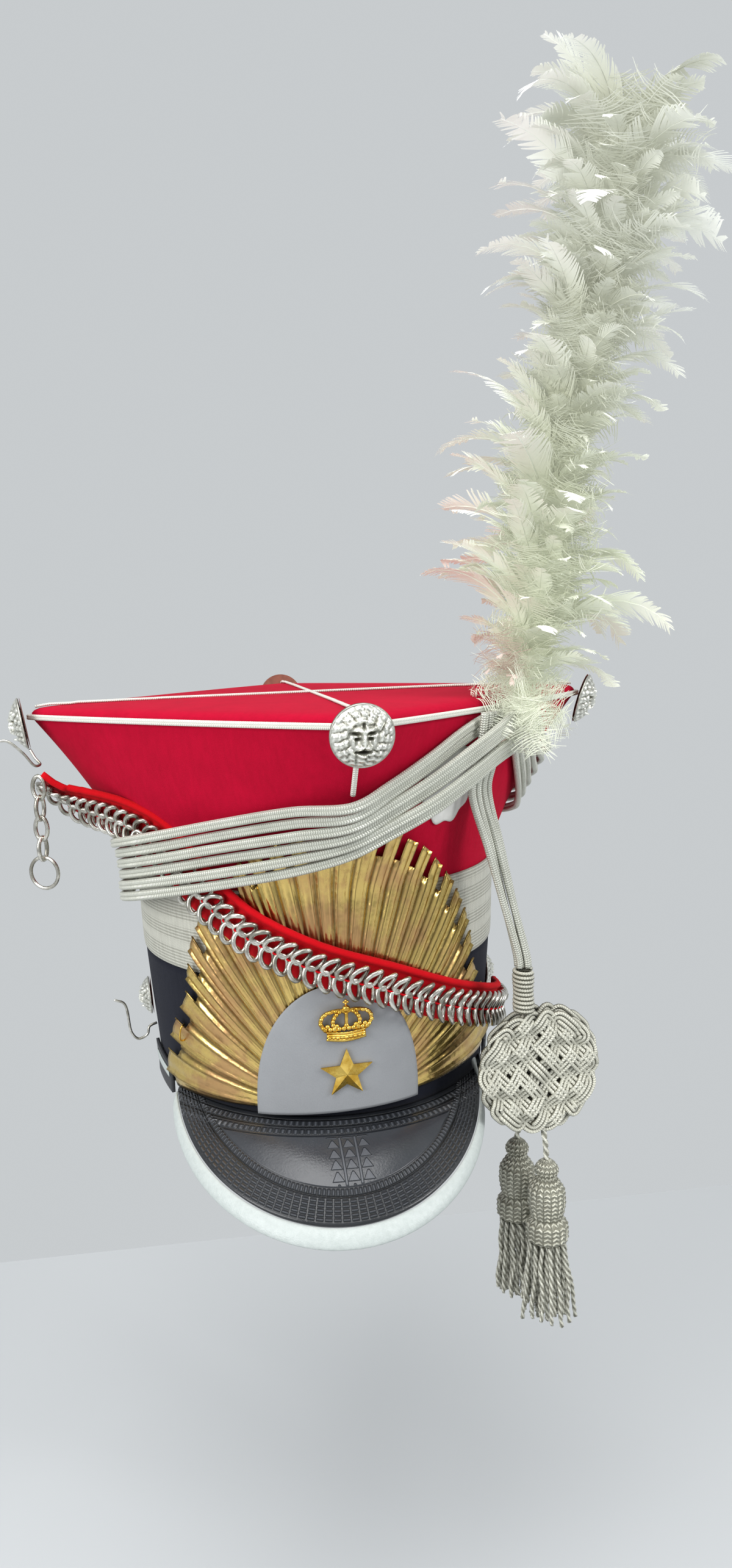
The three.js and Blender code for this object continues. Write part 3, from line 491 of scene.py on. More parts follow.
silver_braid = braid("silver braid", (0.33, 0.335, 0.28), (0.84, 0.85, 0.76))
mat_braid = braid("mat braid", (0.09, 0.085, 0.055), (0.84, 0.83, 0.71), lanes=3, metallic=0.15, shaded_grooves=True)
knit = braid("knitted cord", (0.12, 0.115, 0.08), (0.78, 0.77, 0.64), pitch=2.3, lanes=15, depth=0.9)
twisted = Finish("twisted cord", (0.80, 0.79, 0.68), 0.45, 0.25)
lobe = (twisted.uv("X") * 2 + 0.25).wave()
thread = (twisted.uv("X") * 12 + twisted.uv("Y") * 0.5).wave()
twisted.bump(lobe * 0.6 + thread * 0.4, 0.3)
# Painted shade: the colour follows the two lobes and the threads, painted dark in the grooves between strands
# and between threads.
twisted.tinted(lobe * 0.85 + thread * 0.25, (0.16, 0.155, 0.11), (0.88, 0.87, 0.76))
white_braid = braid("white braid", (0.58, 0.57, 0.50), (0.90, 0.89, 0.82), lanes=2, metallic=0.0)
print("braids ready")

# %% [markdown]
# ## The four hanging cords
# At the plume's foot four cords drop in front of the cap, draw together in a whipping and carry two
# woven mats and two tassels. They hang free, with the length that the photograph shows. Their route
# repeats the CAD model's points.

# %% Hanging cords
hanging_route = [(38.6, 194.5, 8.4), (37.6, 182, 9), (36.6, 168, 9), (36.8, 156, 8.4)]
gather = Vector((90.5, -97, 65))
cord_spacing, degrees_per_mm, bundle_spacing = 4.7, 0.52, 2.05
hanging_diameter, tassel_cord_diameter = 3.8, 3.4
hanging_lines, hanging_cords = [], []
for number in range(4):
    spread = (number - 1.5) * cord_spacing * degrees_per_mm
    points = [wall(azimuth + spread, level, offset) for azimuth, level, offset in hanging_route]
    corner = Vector((-1 if number < 2 else 1, 1 if number % 2 else -1, 0)) * bundle_spacing
    foot = gather + corner + Vector((0, 0, 0.3))
    lead = foot + Vector((-0.5, 0, 5))
    points += [points[-1].lerp(lead, 1 / 3), points[-1].lerp(lead, 2 / 3), lead, foot]
    hanging_lines.append(smooth_line(points, 80))
for number, line in enumerate(hanging_lines):
    bm = corded(line, double_ridge(1.95, 1.75), 14, outward)
    name = f"hanging_cord_{number + 1}"
    hanging_cords.append(finished("drop_" + name, bm, silver_braid, [name]))
print("hanging cords:", [round(length_of(line)) for line in hanging_lines], "mm")

# %% [markdown]
# ## The whipping
# The four cords are wrapped with ten turns of thinner cord. It is one cord on a helix round the bundle.

# %% Whipping
turns, fall, steps_round = 10, 21.6, 16
coil = []
for step in range(turns * steps_round + 1):
    share = step / (turns * steps_round)
    radius = mix(4.1, 4.4, math.sin(math.pi * share)) + 0.25 * math.sin(9 * share)
    angle = TURN * turns * share
    coil.append(gather + Vector((radius * math.cos(angle), radius * math.sin(angle), -1 - fall * share)))
whipping = finished(
    "whipping_turns", corded(coil, round_section(1.12), 8), mat_braid, ["whipping"]
)

# %% [markdown]
# ## The woven mats
# Each mat is one triple cord worked over and under itself until it fills a disc, with loops round the
# edge. A curve that swings five times one way while it swings six times the other makes this weave.
# Its crossings are found in the plane, and along the cord they go over and under in turn.


# %% Mat weave
def swing(angle):
    """Goes evenly from -1 to 1 and back, with rounded turns."""
    evenness = 0.975
    return math.asin(evenness * math.sin(angle)) / math.asin(evenness)


def weave_line(steps=600):
    """The weave's line in a disc of radius 1, its lift at each point from -1 to 1, and its crossings."""
    flat = []
    for step in range(steps):
        t = TURN * step / steps
        x, y = swing(5 * t + math.pi / 2), swing(6 * t)
        flat.append(Vector((x * math.sqrt(1 - y * y / 2), y * math.sqrt(1 - x * x / 2))))
    crossings = []
    for i in range(steps):
        a, b = flat[i], flat[(i + 1) % steps]
        for j in range(i + 2, steps):
            c, d = flat[j], flat[(j + 1) % steps]
            ab, cd, ac = b - a, d - c, c - a
            cross = ab.x * cd.y - ab.y * cd.x
            if abs(cross) < 1e-9:
                continue
            s = (ac.x * cd.y - ac.y * cd.x) / cross
            t = (ac.x * ab.y - ac.y * ab.x) / cross
            if 0 <= s < 1 and 0 <= t < 1 and (i or j < steps - 1):
                crossings += [i + s, j + t]
    crossings.sort()
    lifts = []
    for step in range(steps):
        after = next((k for k, spot in enumerate(crossings) if spot > step), 0)
        low, high = crossings[after - 1], crossings[after]
        share = ((step - low) % steps) / max((high - low) % steps, 1e-6)
        lifts.append((-1) ** after * -math.cos(math.pi * share))
    return flat, lifts, len(crossings) // 2


weave, weave_lifts, crossing_count = weave_line()
print("mat weave:", crossing_count, "crossings")


def mat_cord(radius, lift, spacing, wire):
    parts, height_share = [], 0.97
    for strand in (-1, 0, 1):
        line = []
        for step, spot in enumerate(weave):
            run = (weave[(step + 1) % len(weave)] - weave[step - 1]).normalized()
            x = spot.x * radius - run.y * strand * spacing
            y = spot.y * radius + run.x * strand * spacing
            line.append(Vector((x, -lift * weave_lifts[step], y * height_share)))
        line.append(line[0])
        parts.append(corded(line, round_section(wire), 6, lambda point: forward))
    return gathered(parts)


mat_centres = {"front": Vector((98.5, -97, 9.4)), "rear": Vector((100.9, -89.8, 10.4))}
mat_turn = Matrix.Rotation(math.radians(8), 4, "Z")
mat_pieces = []
for tag, centre in mat_centres.items():
    bm = mat_cord(radius=30.4, lift=1.7, spacing=2.3, wire=1.2)
    place = Matrix.Translation(centre) @ mat_turn
    bmesh.ops.transform(bm, matrix=place, verts=bm.verts)
    mat_pieces.append(finished(f"woven_mat_{tag}", bm, mat_braid, [f"cord_mat_{tag}"]))

# %% [markdown]
# ## The tassels
# From the whipping two twisted cords run on between the mats, and each carries a tassel: a knot, a
# knitted pear-shaped body, a collar of beads and a skirt of twisted strands. The body is turned about
# its axis with a knit in relief, and the cord ends inside it.


# %% Tassels
def twisted_pair(line, radius, pitch):
    """Two strands laid round each other, as one cord with two lobes that turn along it."""
    length = length_of(line)

    def section(angle, v):
        reach = radius * (0.6 + 0.4 * abs(math.cos(angle)) ** 0.8)
        turn = angle + math.pi * v * length / pitch
        return reach * math.cos(turn), reach * math.sin(turn)

    return corded(line, section, 8)


def knitted(profile, relief, rows_round, rows_down):
    """A turned body with a basket relief. The profile's rows are a share of the fall and a radius."""

    def radius_at(share):
        for (low, start), (high, end) in zip(profile, profile[1:]):
            if share <= high:
                return mix(start, end, (share - low) / max(high - low, 1e-6))
        return profile[-1][1]

    def section(angle, v):
        stitches = math.sin(rows_round * angle) * math.sin(rows_down * math.pi * v)
        radius = radius_at(v) + relief * stitches * min(1, 8 * v)
        return radius * math.cos(angle), radius * math.sin(angle)

    return section


tassel_profile = [
    (0, 2.2), (0.04, 4.4), (0.1, 6), (0.16, 5.8), (0.2, 4.5), (0.26, 6.4), (0.36, 9.2), (0.52, 9.6),
    (0.66, 8.6), (0.72, 7.4), (0.76, 10), (0.8, 10.8), (0.96, 10.8), (1, 8.6),
]
body_height, body_steps, strand_count = 44, 66, 42
tassel_lines, tassel_cords, tassel_pieces = [], [], []
for tag, top, lag in (
    ("front", Vector((102, -97, -38)), 3.4),
    ("rear", Vector((93.5, -75, -36)), -2.2),
):
    centre = mat_centres[tag]
    route = [gather + Vector((0.4, 0, -22)), centre + Vector((-4.5, lag, 20))]
    route += [centre + Vector((0, lag, 0)), centre + Vector((1.5, lag, -24))]
    route += [top.lerp(centre, 0.24), top + Vector((0, 0, 0.8)), top + Vector((0, 0, -24))]
    tassel_lines.append(smooth_line(route, 70))
    bm = twisted_pair(tassel_lines[-1], tassel_cord_diameter / 2, 5)
    tassel_cords.append(finished(f"tassel_loop_{tag}", bm, twisted, [f"tassel_cord_{tag}"]))
    body_line = [top + downward * (body_height * step / body_steps) for step in range(body_steps + 1)]
    bm = corded(body_line, knitted(tassel_profile, relief=0.5, rows_round=15, rows_down=33), 64)
    tassel_pieces.append(finished(f"tassel_body_{tag}", bm, knit, [f"tassel_head_{tag}"]))
    strands = []
    for number in range(strand_count):
        ring = (number % 3) / 2
        angle = TURN * number / strand_count + chance.uniform(-0.07, 0.07)
        start, end = mix(4.5, 8.8, ring), mix(5.5, 12.4, ring) * chance.uniform(0.85, 1.15)
        fall = chance.uniform(38, 42.3)
        side = Vector((math.sin(angle), -math.cos(angle), 0))
        waist = top + side * start + downward * (body_height + 0.4)
        tip = top + side * end + downward * (body_height + 0.4 + fall)
        bends = [
            waist.lerp(tip, share) + Vector((chance.uniform(-1.1, 1.1), chance.uniform(-1.1, 1.1), 0))
            for share in (0.3, 0.55, 0.8)
        ]
        strands.append(twisted_pair(smooth_line([waist, *bends, tip], 34), 1.2, 4.2))
    tassel_pieces.append(
        finished(f"tassel_strands_{tag}", gathered(strands), twisted, [f"tassel_skirt_{tag}"])
    )


def hangs_free(line):
    line[0] * MM
    length_of(line) * MM
    [point * MM for point in line]


for piece, line in zip(hanging_cords, hanging_lines):
    hangs_free(line)
for number, (piece, line) in enumerate(zip(tassel_cords, tassel_lines)):
    carried = [mat_pieces[number], *tassel_pieces[2 * number : 2 * number + 2]]
    hangs_free(line)
print("tassel cords:", [round(length_of(line)) for line in tassel_lines], "mm")

# %% [markdown]
# ## The cloth of the cap
# The turban is navy wool and the crown is red wool, both fulled until no weave shows: what shows is a
# fine felted grain, a slight mottle, and the long shallow strains that the pull to the corners leaves.
# Each is one smooth shell laid on the wall, with a Solidify modifier for the cloth's thickness.


# %% Wool, lace and piping finishes
def wool(name, dark, light, sheen):
    finish = Finish(name, light, 0.92, 0.0, Sheen_Weight=sheen, Sheen_Roughness=0.5, Specular_IOR_Level=0.12)
    grain = finish.cloud(2600, 2, 0.7)
    mottle = finish.cloud(60, 3, 0.6)
    strain = finish.cloud(1.0, 2, 0.5, finish.stretched(finish.place(), 420, 420, 26))
    finish.tinted(grain * 0.55 + mottle * 0.45 + strain * 0.3 - 0.15, dark, light)
    finish.bump(grain * 0.6 + strain * 0.5, 0.25)
    return finish


navy_wool = wool("navy wool", (0.004, 0.0045, 0.009), (0.017, 0.019, 0.030), 0.05)
red_wool = wool("red wool", (0.27, 0.0008, 0.013), (0.56, 0.002, 0.032), 0.0)
red_felt = wool("red felt", (0.36, 0.001, 0.004), (0.66, 0.003, 0.010), 0.02)

silver_lace = Finish("silver lace", (0.62, 0.61, 0.53), 0.55, 0.15)
level = silver_lace.axis(silver_lace.place(), "Z") / MM - lace_foot
rib = (level * 0.62).wave()
fine = (level * 1.9).wave()
smooth_stripe = level.within(10.5, 14.5, 0.5) + level.within(22, 26, 0.5) + level.within(36, 40, 0.5)
weft = silver_lace.cloud(1.0, 2, 0.6, silver_lace.stretched(silver_lace.place(), 900, 900, 90))
relief = (rib * 0.5 + fine * 0.3) * (1 - smooth_stripe) + smooth_stripe * (0.42 + fine * 0.25)
silver_lace.bump(relief + weft * 0.2, 0.4)
# Painted shade: the colour follows the ribs' relief, so the grooves between ribs are painted dark, mixed with
# the weft's random tone.
silver_lace.tinted(relief * 1.05 + weft * 0.6 - 0.15, (0.21, 0.205, 0.16), (0.68, 0.675, 0.595))


# %% Turban, crown and lace
def corner_azimuth(u):
    """Azimuths crowd towards the four corners, where the square turns sharply."""
    quarter = (u * 4) % 1
    crowded = 0.5 - 0.5 * math.cos(math.pi * quarter)
    return 90 * (math.floor(u * 4 + 1e-9) + mix(quarter, crowded, 0.75))


def turban_cloth(u, v):
    azimuth = 360 * u
    z = mix(rim_level(azimuth), lace_foot - 0.3, v)
    drape = 0.35 * math.sin(math.radians(azimuth) * 9 + 2 * v) * math.sin(math.pi * v)
    point = wall(azimuth, max(z, 0), -0.4 + drape)
    point.z = z
    return point


under_lace = -0.9
crown_profile = [(lace_foot, under_lace), (90, under_lace), (lace_top - 0.2, under_lace)]
crown_profile += [(lace_top + 1, -0.5)]
crown_profile += [(mix(lace_top + 1, crown_top, step / 26), 0) for step in range(1, 27)]
crown_roof = [(196.4, 1.0), (197.6, 0.997), (198.8, 0.988), (199.8, 0.97), (200.4, 0.94), (200.9, 0.85)]
crown_roof += [(201.3, 0.7), (201.4, 0.55), (201.5, 0.4), (201.5, 0.25), (201.5, 0.1), (201.5, 0.0)]


def crown_cloth(u, v):
    azimuth = corner_azimuth(u)
    step = round(v * (len(crown_profile) + len(crown_roof) - 1))
    if step >= len(crown_profile):
        z, share = crown_roof[step - len(crown_profile)]
        point = wall(azimuth, crown_top, 0, share)
        point.z = z + 0.5 * noise.noise(point * 0.012) * (1 - share)
        return point
    z, offset = crown_profile[step]
    rise = min(max((z - lace_top) / (crown_top - lace_top), 0), 1)
    slack = 0.9 * noise.noise(Vector((azimuth * 0.05, z * 0.02, 3))) * math.sin(math.pi * rise)
    return wall(azimuth, min(z, crown_top), offset + slack)


finished("turban_cloth", laid(144, 16, turban_cloth), navy_wool, ["turban"], thickness=2.2)
rows = len(crown_profile) + len(crown_roof) - 1
finished("crown_wool", laid(192, rows, crown_cloth), red_wool, ["crown_cloth"], thickness=2.0)


def lace_cloth(u, v):
    return wall(360 * u, mix(lace_foot, lace_top, v), 0.6 - 0.35 * (abs(2 * v - 1) ** 8))


bm = laid(144, 24, lace_cloth)
finished("lace_band_cloth", bm, silver_lace, ["lace_band"], thickness=1.1)

# %% [markdown]
# ## Piping
# A thin white braid is sewn round the top, down two of the corners and corner to corner across the top.


# %% Piping
rim_line = [wall(corner_azimuth(step / 160), crown_top, 1.7) + upward * 0.2 for step in range(161)]
bm = corded(rim_line, double_ridge(1.5, 1.15, 0.3), 12, outward)
finished("rim_braid", bm, white_braid, ["edge_piping"])
for name, azimuth, low, high in (("front_piping", 0, 163, 186), ("back_piping", 180, 138, 186)):
    line = [wall(azimuth, mix(low, high, step / 24), 1.6) for step in range(25)]
    finished("corner_" + name, corded(line, round_section(1.25), 10), white_braid, [name])
strips = []
for azimuth in (0, 90):
    line = []
    for step in range(81):
        share = abs(2 * step / 80 - 1) * 0.985
        point = wall(azimuth + (180 if step > 40 else 0), crown_top, 0, share)
        roof = [(row_share, row_z) for row_z, row_share in crown_roof]
        low = next(row for row in roof if row[0] <= share + 1e-9)
        point.z = max(low[1], 199.3 if share > 0.97 else 0) + 0.75
        line.append(point)
    strips.append(corded(line, double_ridge(1.1, 0.75, 0), 8, lambda point: upward))
finished("top_braid", gathered(strips), white_braid, ["top_piping"])

# %% [markdown]
# ## Cap lines
# Six cords run from the plume's foot across the front, round the back and up to the plume again. They
# are flat braids with two ridges, laid on the wall in three pairs, so their sections lean outward.

# %% Cap lines
line_ends = [
    (40.5, 191, 3.4), (40.5, 186.8, 3.4), (43.5, 192.4, 14.4),
    (43.5, 188.1, 14.4), (47.5, 180.3, 13.2), (47.5, 175.9, 13.2),
]
line_route = [
    # azimuth, middle of each pair, how far apart its two lines run, how far each pair stands off
    (37, (188, 184.2, 172.9), 4.4, (3.6, 14, 14.2)), (29, (183.6, 177, 166.3), 4.6, (3.8, 13, 15)),
    (18, (174, 164.9, 155.2), 4.7, (4.2, 10.2, 15.2)), (8, (163.7, 154.1, 144.6), 4.8, (4.8, 8.6, 12)),
    (0, (155.6, 145.6, 135.8), 5, (9, 9.8, 9.8)), (-12, (152.1, 140.3, 128.5), 5.9, (5.2, 8.6, 9.6)),
    (-30, (144.6, 132.8, 121), 5.9, (4, 7, 12.8)), (-48, (137.1, 125.5, 113.9), 5.8, (13.8, 15.6, 19)),
    (-66, (129.1, 117.5, 105.9), 5.8, (14, 15.6, 16.4)), (-88, (121.6, 110.3, 98.9), 5.7, (6.2, 5.6, 5.2)),
    (-112, (120.2, 108.8, 97.3), 5.7, (4.6, 4.6, 4.6)), (-145, (123.1, 111.5, 99.9), 5.8, (4.8, 4.8, 4.8)),
    (-180, (130.1, 118.5, 106.9), 5.8, (6.6, 5.6, 4.8)), (-218, (140.1, 128.5, 116.9), 5.8, (4.4, 4.8, 5.4)),
    (-252, (150.1, 138.5, 126.9), 5.8, (4.6, 4.6, 4.8)), (-272, (160.7, 147.5, 134.3), 6.6, (6.4, 6.4, 6.4)),
    (-287, (172.6, 159, 145.4), 6.8, (4.8, 5, 5.2)),
]
line_backs = [(-294 - 2.7 * number, 189 - number) for number in range(6)]
for number in range(6):
    pair, above = number // 2, 0.5 - number % 2
    points = [wall(*line_ends[number])]
    for azimuth, middles, apart, lift in line_route:
        points.append(wall(azimuth, middles[pair] + above * apart, lift[pair]))
    points.append(wall(*line_backs[number], 4.6))
    bm = corded(smooth_line(points, 320), double_ridge(2.45, 1.9), 16, outward)
    finished(f"braided_line_{number + 1}", bm, silver_braid, [f"cap_line_{number + 1}"])

# %% [markdown]
# ## The chain
# Two rows of curb links are laced to a strap of red felt. A curb link is an oval ring that is twisted
# so that it lies on its neighbours like a tipped coin. Each ring is a grid wrapped both ways.


# %% Metal finishes
def metal(name, dark, light, roughness):
    finish = Finish(name, light, roughness, 1.0)
    tarnish = finish.cloud(120, 4, 0.6)
    scratch = finish.cloud(1.0, 3, 0.6, finish.stretched(finish.place(), 2400, 300, 900))
    finish.tinted(finish.ramp(tarnish, 0.35, 0.65), dark, light)
    worn = tarnish * 0.7 + scratch * 0.3
    finish.roughened(worn, 0.3, 0.7, roughness + 0.15, roughness - 0.06)
    finish.bump(tarnish * 0.5 + scratch * 0.5, 0.05)
    return finish


steel = metal("polished steel", (0.30, 0.285, 0.24), (0.74, 0.72, 0.66), 0.24)
gilt = metal("gilt", (0.62, 0.36, 0.05), (0.95, 0.66, 0.16), 0.2)


# %% Links
def oval_ring(half_length, half_width, wire, twist=0.0, around=20):
    """An oval ring in the plane of x and y, its wire's middle on the oval."""

    def place(u, v):
        turn, tube = TURN * u, TURN * v
        spot = Vector((half_length * math.cos(turn), half_width * math.sin(turn), 0))
        out = Vector((math.cos(turn) / half_length, math.sin(turn) / half_width, 0)).normalized()
        point = spot + out * wire * math.cos(tube)
        point.z = wire * math.sin(tube) + twist * math.sin(2 * turn)
        return point

    bm = laid(around, 8, place)
    bmesh.ops.recalc_face_normals(bm, faces=bm.faces)
    return bm


def set_in(bm, centre, run, normal):
    """Places a small mesh: its x along run, its z along normal."""
    across = normal.cross(run).normalized()
    lift = run.cross(across).normalized()
    basis = Matrix((run, across, lift)).transposed().to_4x4()
    bmesh.ops.transform(bm, matrix=Matrix.Translation(centre) @ basis, verts=bm.verts)
    return bm


chain_route = [
    (-87, 163, 20), (-84, 151, 14), (-68, 142, 3), (-54, 132, 2.6), (-40, 113, 5.8), (-31, 101, 6),
    (-22, 90, 6.4), (-8, 77, 6.8), (10, 64, 6.8), (27, 50, 6.6), (45, 38, 6), (62, 29, 5.4), (76, 24, 3.4),
]
chain_steps = 200
chain_line = smooth_line([wall(*spot) for spot in chain_route], chain_steps)
chain_normals = smooth_line([wall_normal(spot[0], spot[1]) * 100 for spot in chain_route], chain_steps)


def chain_frame(share):
    """Where the strap's middle is, its run, its upward side and its outward side."""
    spot = min(max(share, 0), 1) * chain_steps
    low = min(int(spot), chain_steps - 1)
    centre = chain_line[low].lerp(chain_line[low + 1], spot - low)
    run = (chain_line[min(low + 2, chain_steps)] - chain_line[max(low - 1, 0)]).normalized()
    normal = chain_normals[low].normalized()
    up = normal.cross(run).normalized()
    return centre, run, up, run.cross(up).normalized()


links = []
link_count, row_spacing, link_lean, link_tip = 50, 3.9, 1.02, 0.55
for number in range(link_count):
    share = (number + 0.5) / link_count
    centre, run, up, out = chain_frame(share)
    for side in (-1, 1):
        ring = oval_ring(4.9, 3.3, 1.25, 0.5 * side)
        middle = centre + up * side * row_spacing + out * (4.7 + chance.uniform(-0.15, 0.15))
        lean = (run * math.cos(link_lean) + up * side * math.sin(link_lean)).normalized()
        square = lean.cross(out).normalized() * side
        tipped = (out * math.cos(link_tip) + square * math.sin(link_tip)).normalized()
        links.append(set_in(ring, middle, lean, tipped))
finished("curb_links", gathered(links), steel, ["chin_chain"])

# %% Felt strap and red lacing
strap_edge = [
    (-8.5, 0.0), (12.2, 0.0), (12.9, 0.9), (12.7, 2.4), (11.6, 3.4), (10.2, 3.2), (9.4, 2.0), (8.6, 1.6),
    (-8.5, 1.6),
]


def strap_felt(u, v):
    centre, run, up, out = chain_frame(v)
    side, lift = strap_edge[round(u * len(strap_edge)) % len(strap_edge)]
    fuzz = 0.18 * noise.noise(Vector((v * 90, side, lift)))
    return centre + up * (side + fuzz) + out * (lift + fuzz)


bm = laid(len(strap_edge), 160, strap_felt, shell=True)
finished("felt_strap", bm, red_felt, ["chain_strap"])
lacing = []
for step in range(link_count * 8 + 1):
    centre, run, up, out = chain_frame(step / (link_count * 8))
    wave = math.sin(TURN * step / 8)
    lacing.append(centre + up * (0.5 * wave) + out * (4.6 + 1.0 * math.cos(TURN * step / 8)))
finished("red_lacing", corded(lacing, round_section(0.5), 6), red_felt)

# %% [markdown]
# ## The chain's free end
# Four larger links and a split ring hang from the left corner's hook. Each link is set square to the
# next, and each hangs from the one above.

# %% Chain tail and hooks
tail_top = Vector((-147.5, -25, 165))
tail_count, tail_pitch, tail_half_length, ring_radius, tail_yaw = 4, 10.8, 6.2, 8.4, -28
tail = []
for number in range(tail_count + 1):
    is_ring = number == tail_count
    yaw = math.radians(tail_yaw + 90 * (number % 2))
    if is_ring:
        link, half_length = oval_ring(ring_radius, ring_radius, 1.0, around=36), ring_radius
    else:
        link, half_length = oval_ring(tail_half_length, 3.7, 1.15), tail_half_length
    side = Vector((math.cos(yaw), math.sin(yaw), 0))
    centre = tail_top + downward * (number * tail_pitch + half_length)
    tail.append(set_in(link, centre, downward, side.cross(downward)))
finished("hanging_links", gathered(tail), steel, ["chain_tail"])

hook_routes = {
    "corner_hook": [
        (-151.8, -14.4, 178.2), (-149, -17, 173.5), (-146.5, -19, 170.5), (-149, -21, 170), (-155, -20, 177),
        (-163, -19, 183.5), (-168, -19, 183.5),
    ],
    "left_ear_hook": [
        (-93.5, -13.1, 22), (-97.6, -14.6, 20.6), (-99, -15.2, 16.4), (-104, -15.6, 14.4),
        (-107.4, -15.6, 18), (-110.6, -15.6, 35), (-116, -15.6, 37.6),
    ],
    "right_ear_hook": [
        (93.4, -15.8, 21.5), (98.4, -17, 21), (102.6, -19.6, 21.4), (105, -21.4, 22), (106, -22, 25.2),
    ],
}
for name, points in hook_routes.items():
    line = smooth_line([Vector(point) for point in points], 60)
    finished("bent_" + name, corded(line, round_section(0.72), 10), steel, [name])

# %% [markdown]
# ## Peak and binding
# The peak is one sheet of black leather, embossed before it was blocked. Its patterns follow the edge
# and the root, so each of its points carries its distance from both and its place along them, and the
# embossing is worked out from these in the bump. White leather is rolled over its edge.


# %% Peak leather
peak_span, peak_half_width, peak_reach, peak_drop, peak_crown = 62, 81, 100, 35, 5
peak_tips = Vector((-4.2, -50, -3))
binding_radius, binding_inset = 4.5, 4


def peak_point(turn, v):
    """The peak from its root at v 0 to its edge at v 1; turn is -1 at the left tip and 1 at the right."""
    angle = math.radians(90 * turn)
    inner = wall(peak_span * turn, 0, 0.3)
    inner.z = rim_level(peak_span * turn)
    across, along = math.sin(angle), math.cos(angle)
    outer = peak_tips + Vector((peak_half_width * across, -peak_reach * along, -peak_drop * along))
    point = inner.lerp(outer, v)
    point.z += peak_crown * math.sin(math.pi * v) * math.cos(angle)
    point.z += point.x * math.tan(askew) * v
    return point


def leather_point(turn, v):
    """The leather stops short of the binding's middle."""
    edge = peak_point(turn, 1)
    inward = (peak_point(turn, 0.9) - edge).normalized()
    return peak_point(turn, v) + inward * binding_inset * v * v


def measured(bm, name, line):
    """Gives each point its distance from a line and its place along it, in millimetres."""
    tree = kdtree.KDTree(len(line))
    for step, point in enumerate(line):
        tree.insert(Vector((point.x, point.y, 0)), step)
    tree.balance()
    step_length = length_of(line) / (len(line) - 1)
    away = bm.verts.layers.float.new("from_" + name)
    along = bm.verts.layers.float.new("along_" + name)
    for vert in bm.verts:
        spot, step, distance = tree.find(Vector((vert.co.x, vert.co.y, 0)))
        vert[away], vert[along] = distance, step * step_length


bm = laid(180, 44, lambda u, v: leather_point(2 * u - 1, 1 - v) + upward * 1.2)
for name, v in (("edge", 1), ("root", 0)):
    border = [leather_point(step / 200 - 1, v) for step in range(401)]
    measured(bm, name, spread_evenly(border, 4000))

black_leather = Finish("black leather", (0.03, 0.032, 0.037), 0.35, 0.0, Specular_IOR_Level=0.6)
from_edge, along_edge = black_leather.measure("from_edge"), black_leather.measure("along_edge")
from_root, along_root = black_leather.measure("from_root"), black_leather.measure("along_root")
brick = ((along_edge / 4.3).part() - 0.5).size()
outer_band = from_edge.within(1.0, 9.2, 0.3)
ladder = (from_edge / 1.5).wave() * black_leather.ramp(brick, 0.44, 0.34)
bead = (along_edge / 2.6).wave() * from_edge.within(9.9, 12.2, 0.4)
square = (along_root / 2.9).wave() * (from_root.within(3.2, 6.2, 0.3) + from_root.within(8.6, 11.2, 0.3))
furrow = from_edge.within(9.2, 9.8, 0.25) + from_root.within(2.4, 3.0, 0.2) + from_root.within(6.5, 7.2, 0.2)
middle = black_leather.axis(black_leather.place(), "X") / MM
inside = from_root.within(13.5, 62, 0.3) * black_leather.ramp(from_edge, 13, 14)
arrow_pitch, arrow_columns, left_column = 4.9, 7.4, -15
column_share = ((middle - left_column) / arrow_columns).part() - 0.5
arrow = (from_root / arrow_pitch).part()
arrows = black_leather.ramp(arrow * 0.42 - column_share.size(), -0.03, 0.03) * arrow.within(0.12, 0.9, 0.05)
arrows = arrows * middle.within(left_column, left_column + 3 * arrow_columns, 0.2)
bars = [
    black_leather.ramp(((middle - (left_column + number * arrow_columns)) / arrow_columns).size(), 0.11, 0.05)
    for number in (1, 2)
]
panel = (arrows + bars[0] + bars[1]) * inside
plain = black_leather.ramp(from_edge, 12.6, 13.4) * black_leather.ramp(from_root, 12, 13) * (1 - panel)
grain = black_leather.cloud(900, 3, 0.6)
wear = black_leather.cloud(30, 3, 0.6)
height = ladder * outer_band + bead * 0.9 + square * 0.9 - furrow * 0.6 + panel * 0.9 + plain * 0.3
black_leather.bump(height + grain * 0.05, 1.7)
# Painted shade: the colour follows the embossing's height, so furrows and low parts are painted dark and
# raised parts lighter, mixed with random wear.
black_leather.tinted(height * 0.8 + wear * 0.25, (0.006, 0.007, 0.009), (0.07, 0.076, 0.088))
black_leather.roughened(wear + grain * 0.3 - plain * 0.25, 0.3, 0.9, 0.2, 0.46)
finished("peak_leather", bm, black_leather, ["peak"], thickness=2.4)

# %% Binding and tabs
white_leather = Finish("white leather", (0.78, 0.83, 0.80), 0.42)
pores = white_leather.cells(1500)
creases = white_leather.cloud(420, 3, 0.6)
white_leather.bump(pores * 0.5 + creases * 0.8, 0.16)
# Painted shade: the low parts of the creases are painted darker.
white_leather.tinted(creases, (0.38, 0.42, 0.405), (0.52, 0.56, 0.545))


def binding_place(u, v):
    turn = 2 * v - 1
    edge = peak_point(turn, 1)
    out = (edge - peak_point(turn, 0.9)).normalized()
    angle = TURN * u
    pucker = 0.06 * noise.noise(Vector((v * 160, math.cos(angle) * 2, math.sin(angle) * 2)))
    across = binding_radius * (1 + math.cos(angle)) + 0.3 - binding_inset + pucker
    return edge + out * across + Vector((0, 0, (2.5 + pucker) * math.sin(angle)))


bm = laid(22, 220, binding_place, shell=True)
finished("rolled_binding", bm, white_leather, ["peak_binding"])


def tab_point(side, u, v, out):
    """The leather end beside the peak; side is -1 or 1, and u runs from the front."""
    azimuth = side * mix(66, 82, u)
    z = mix(-9 * (1 - 0.5 * u), 13 * mix(0.5, 1, u), v)
    point = wall(azimuth, max(z, 0), out)
    point.z = z
    return point


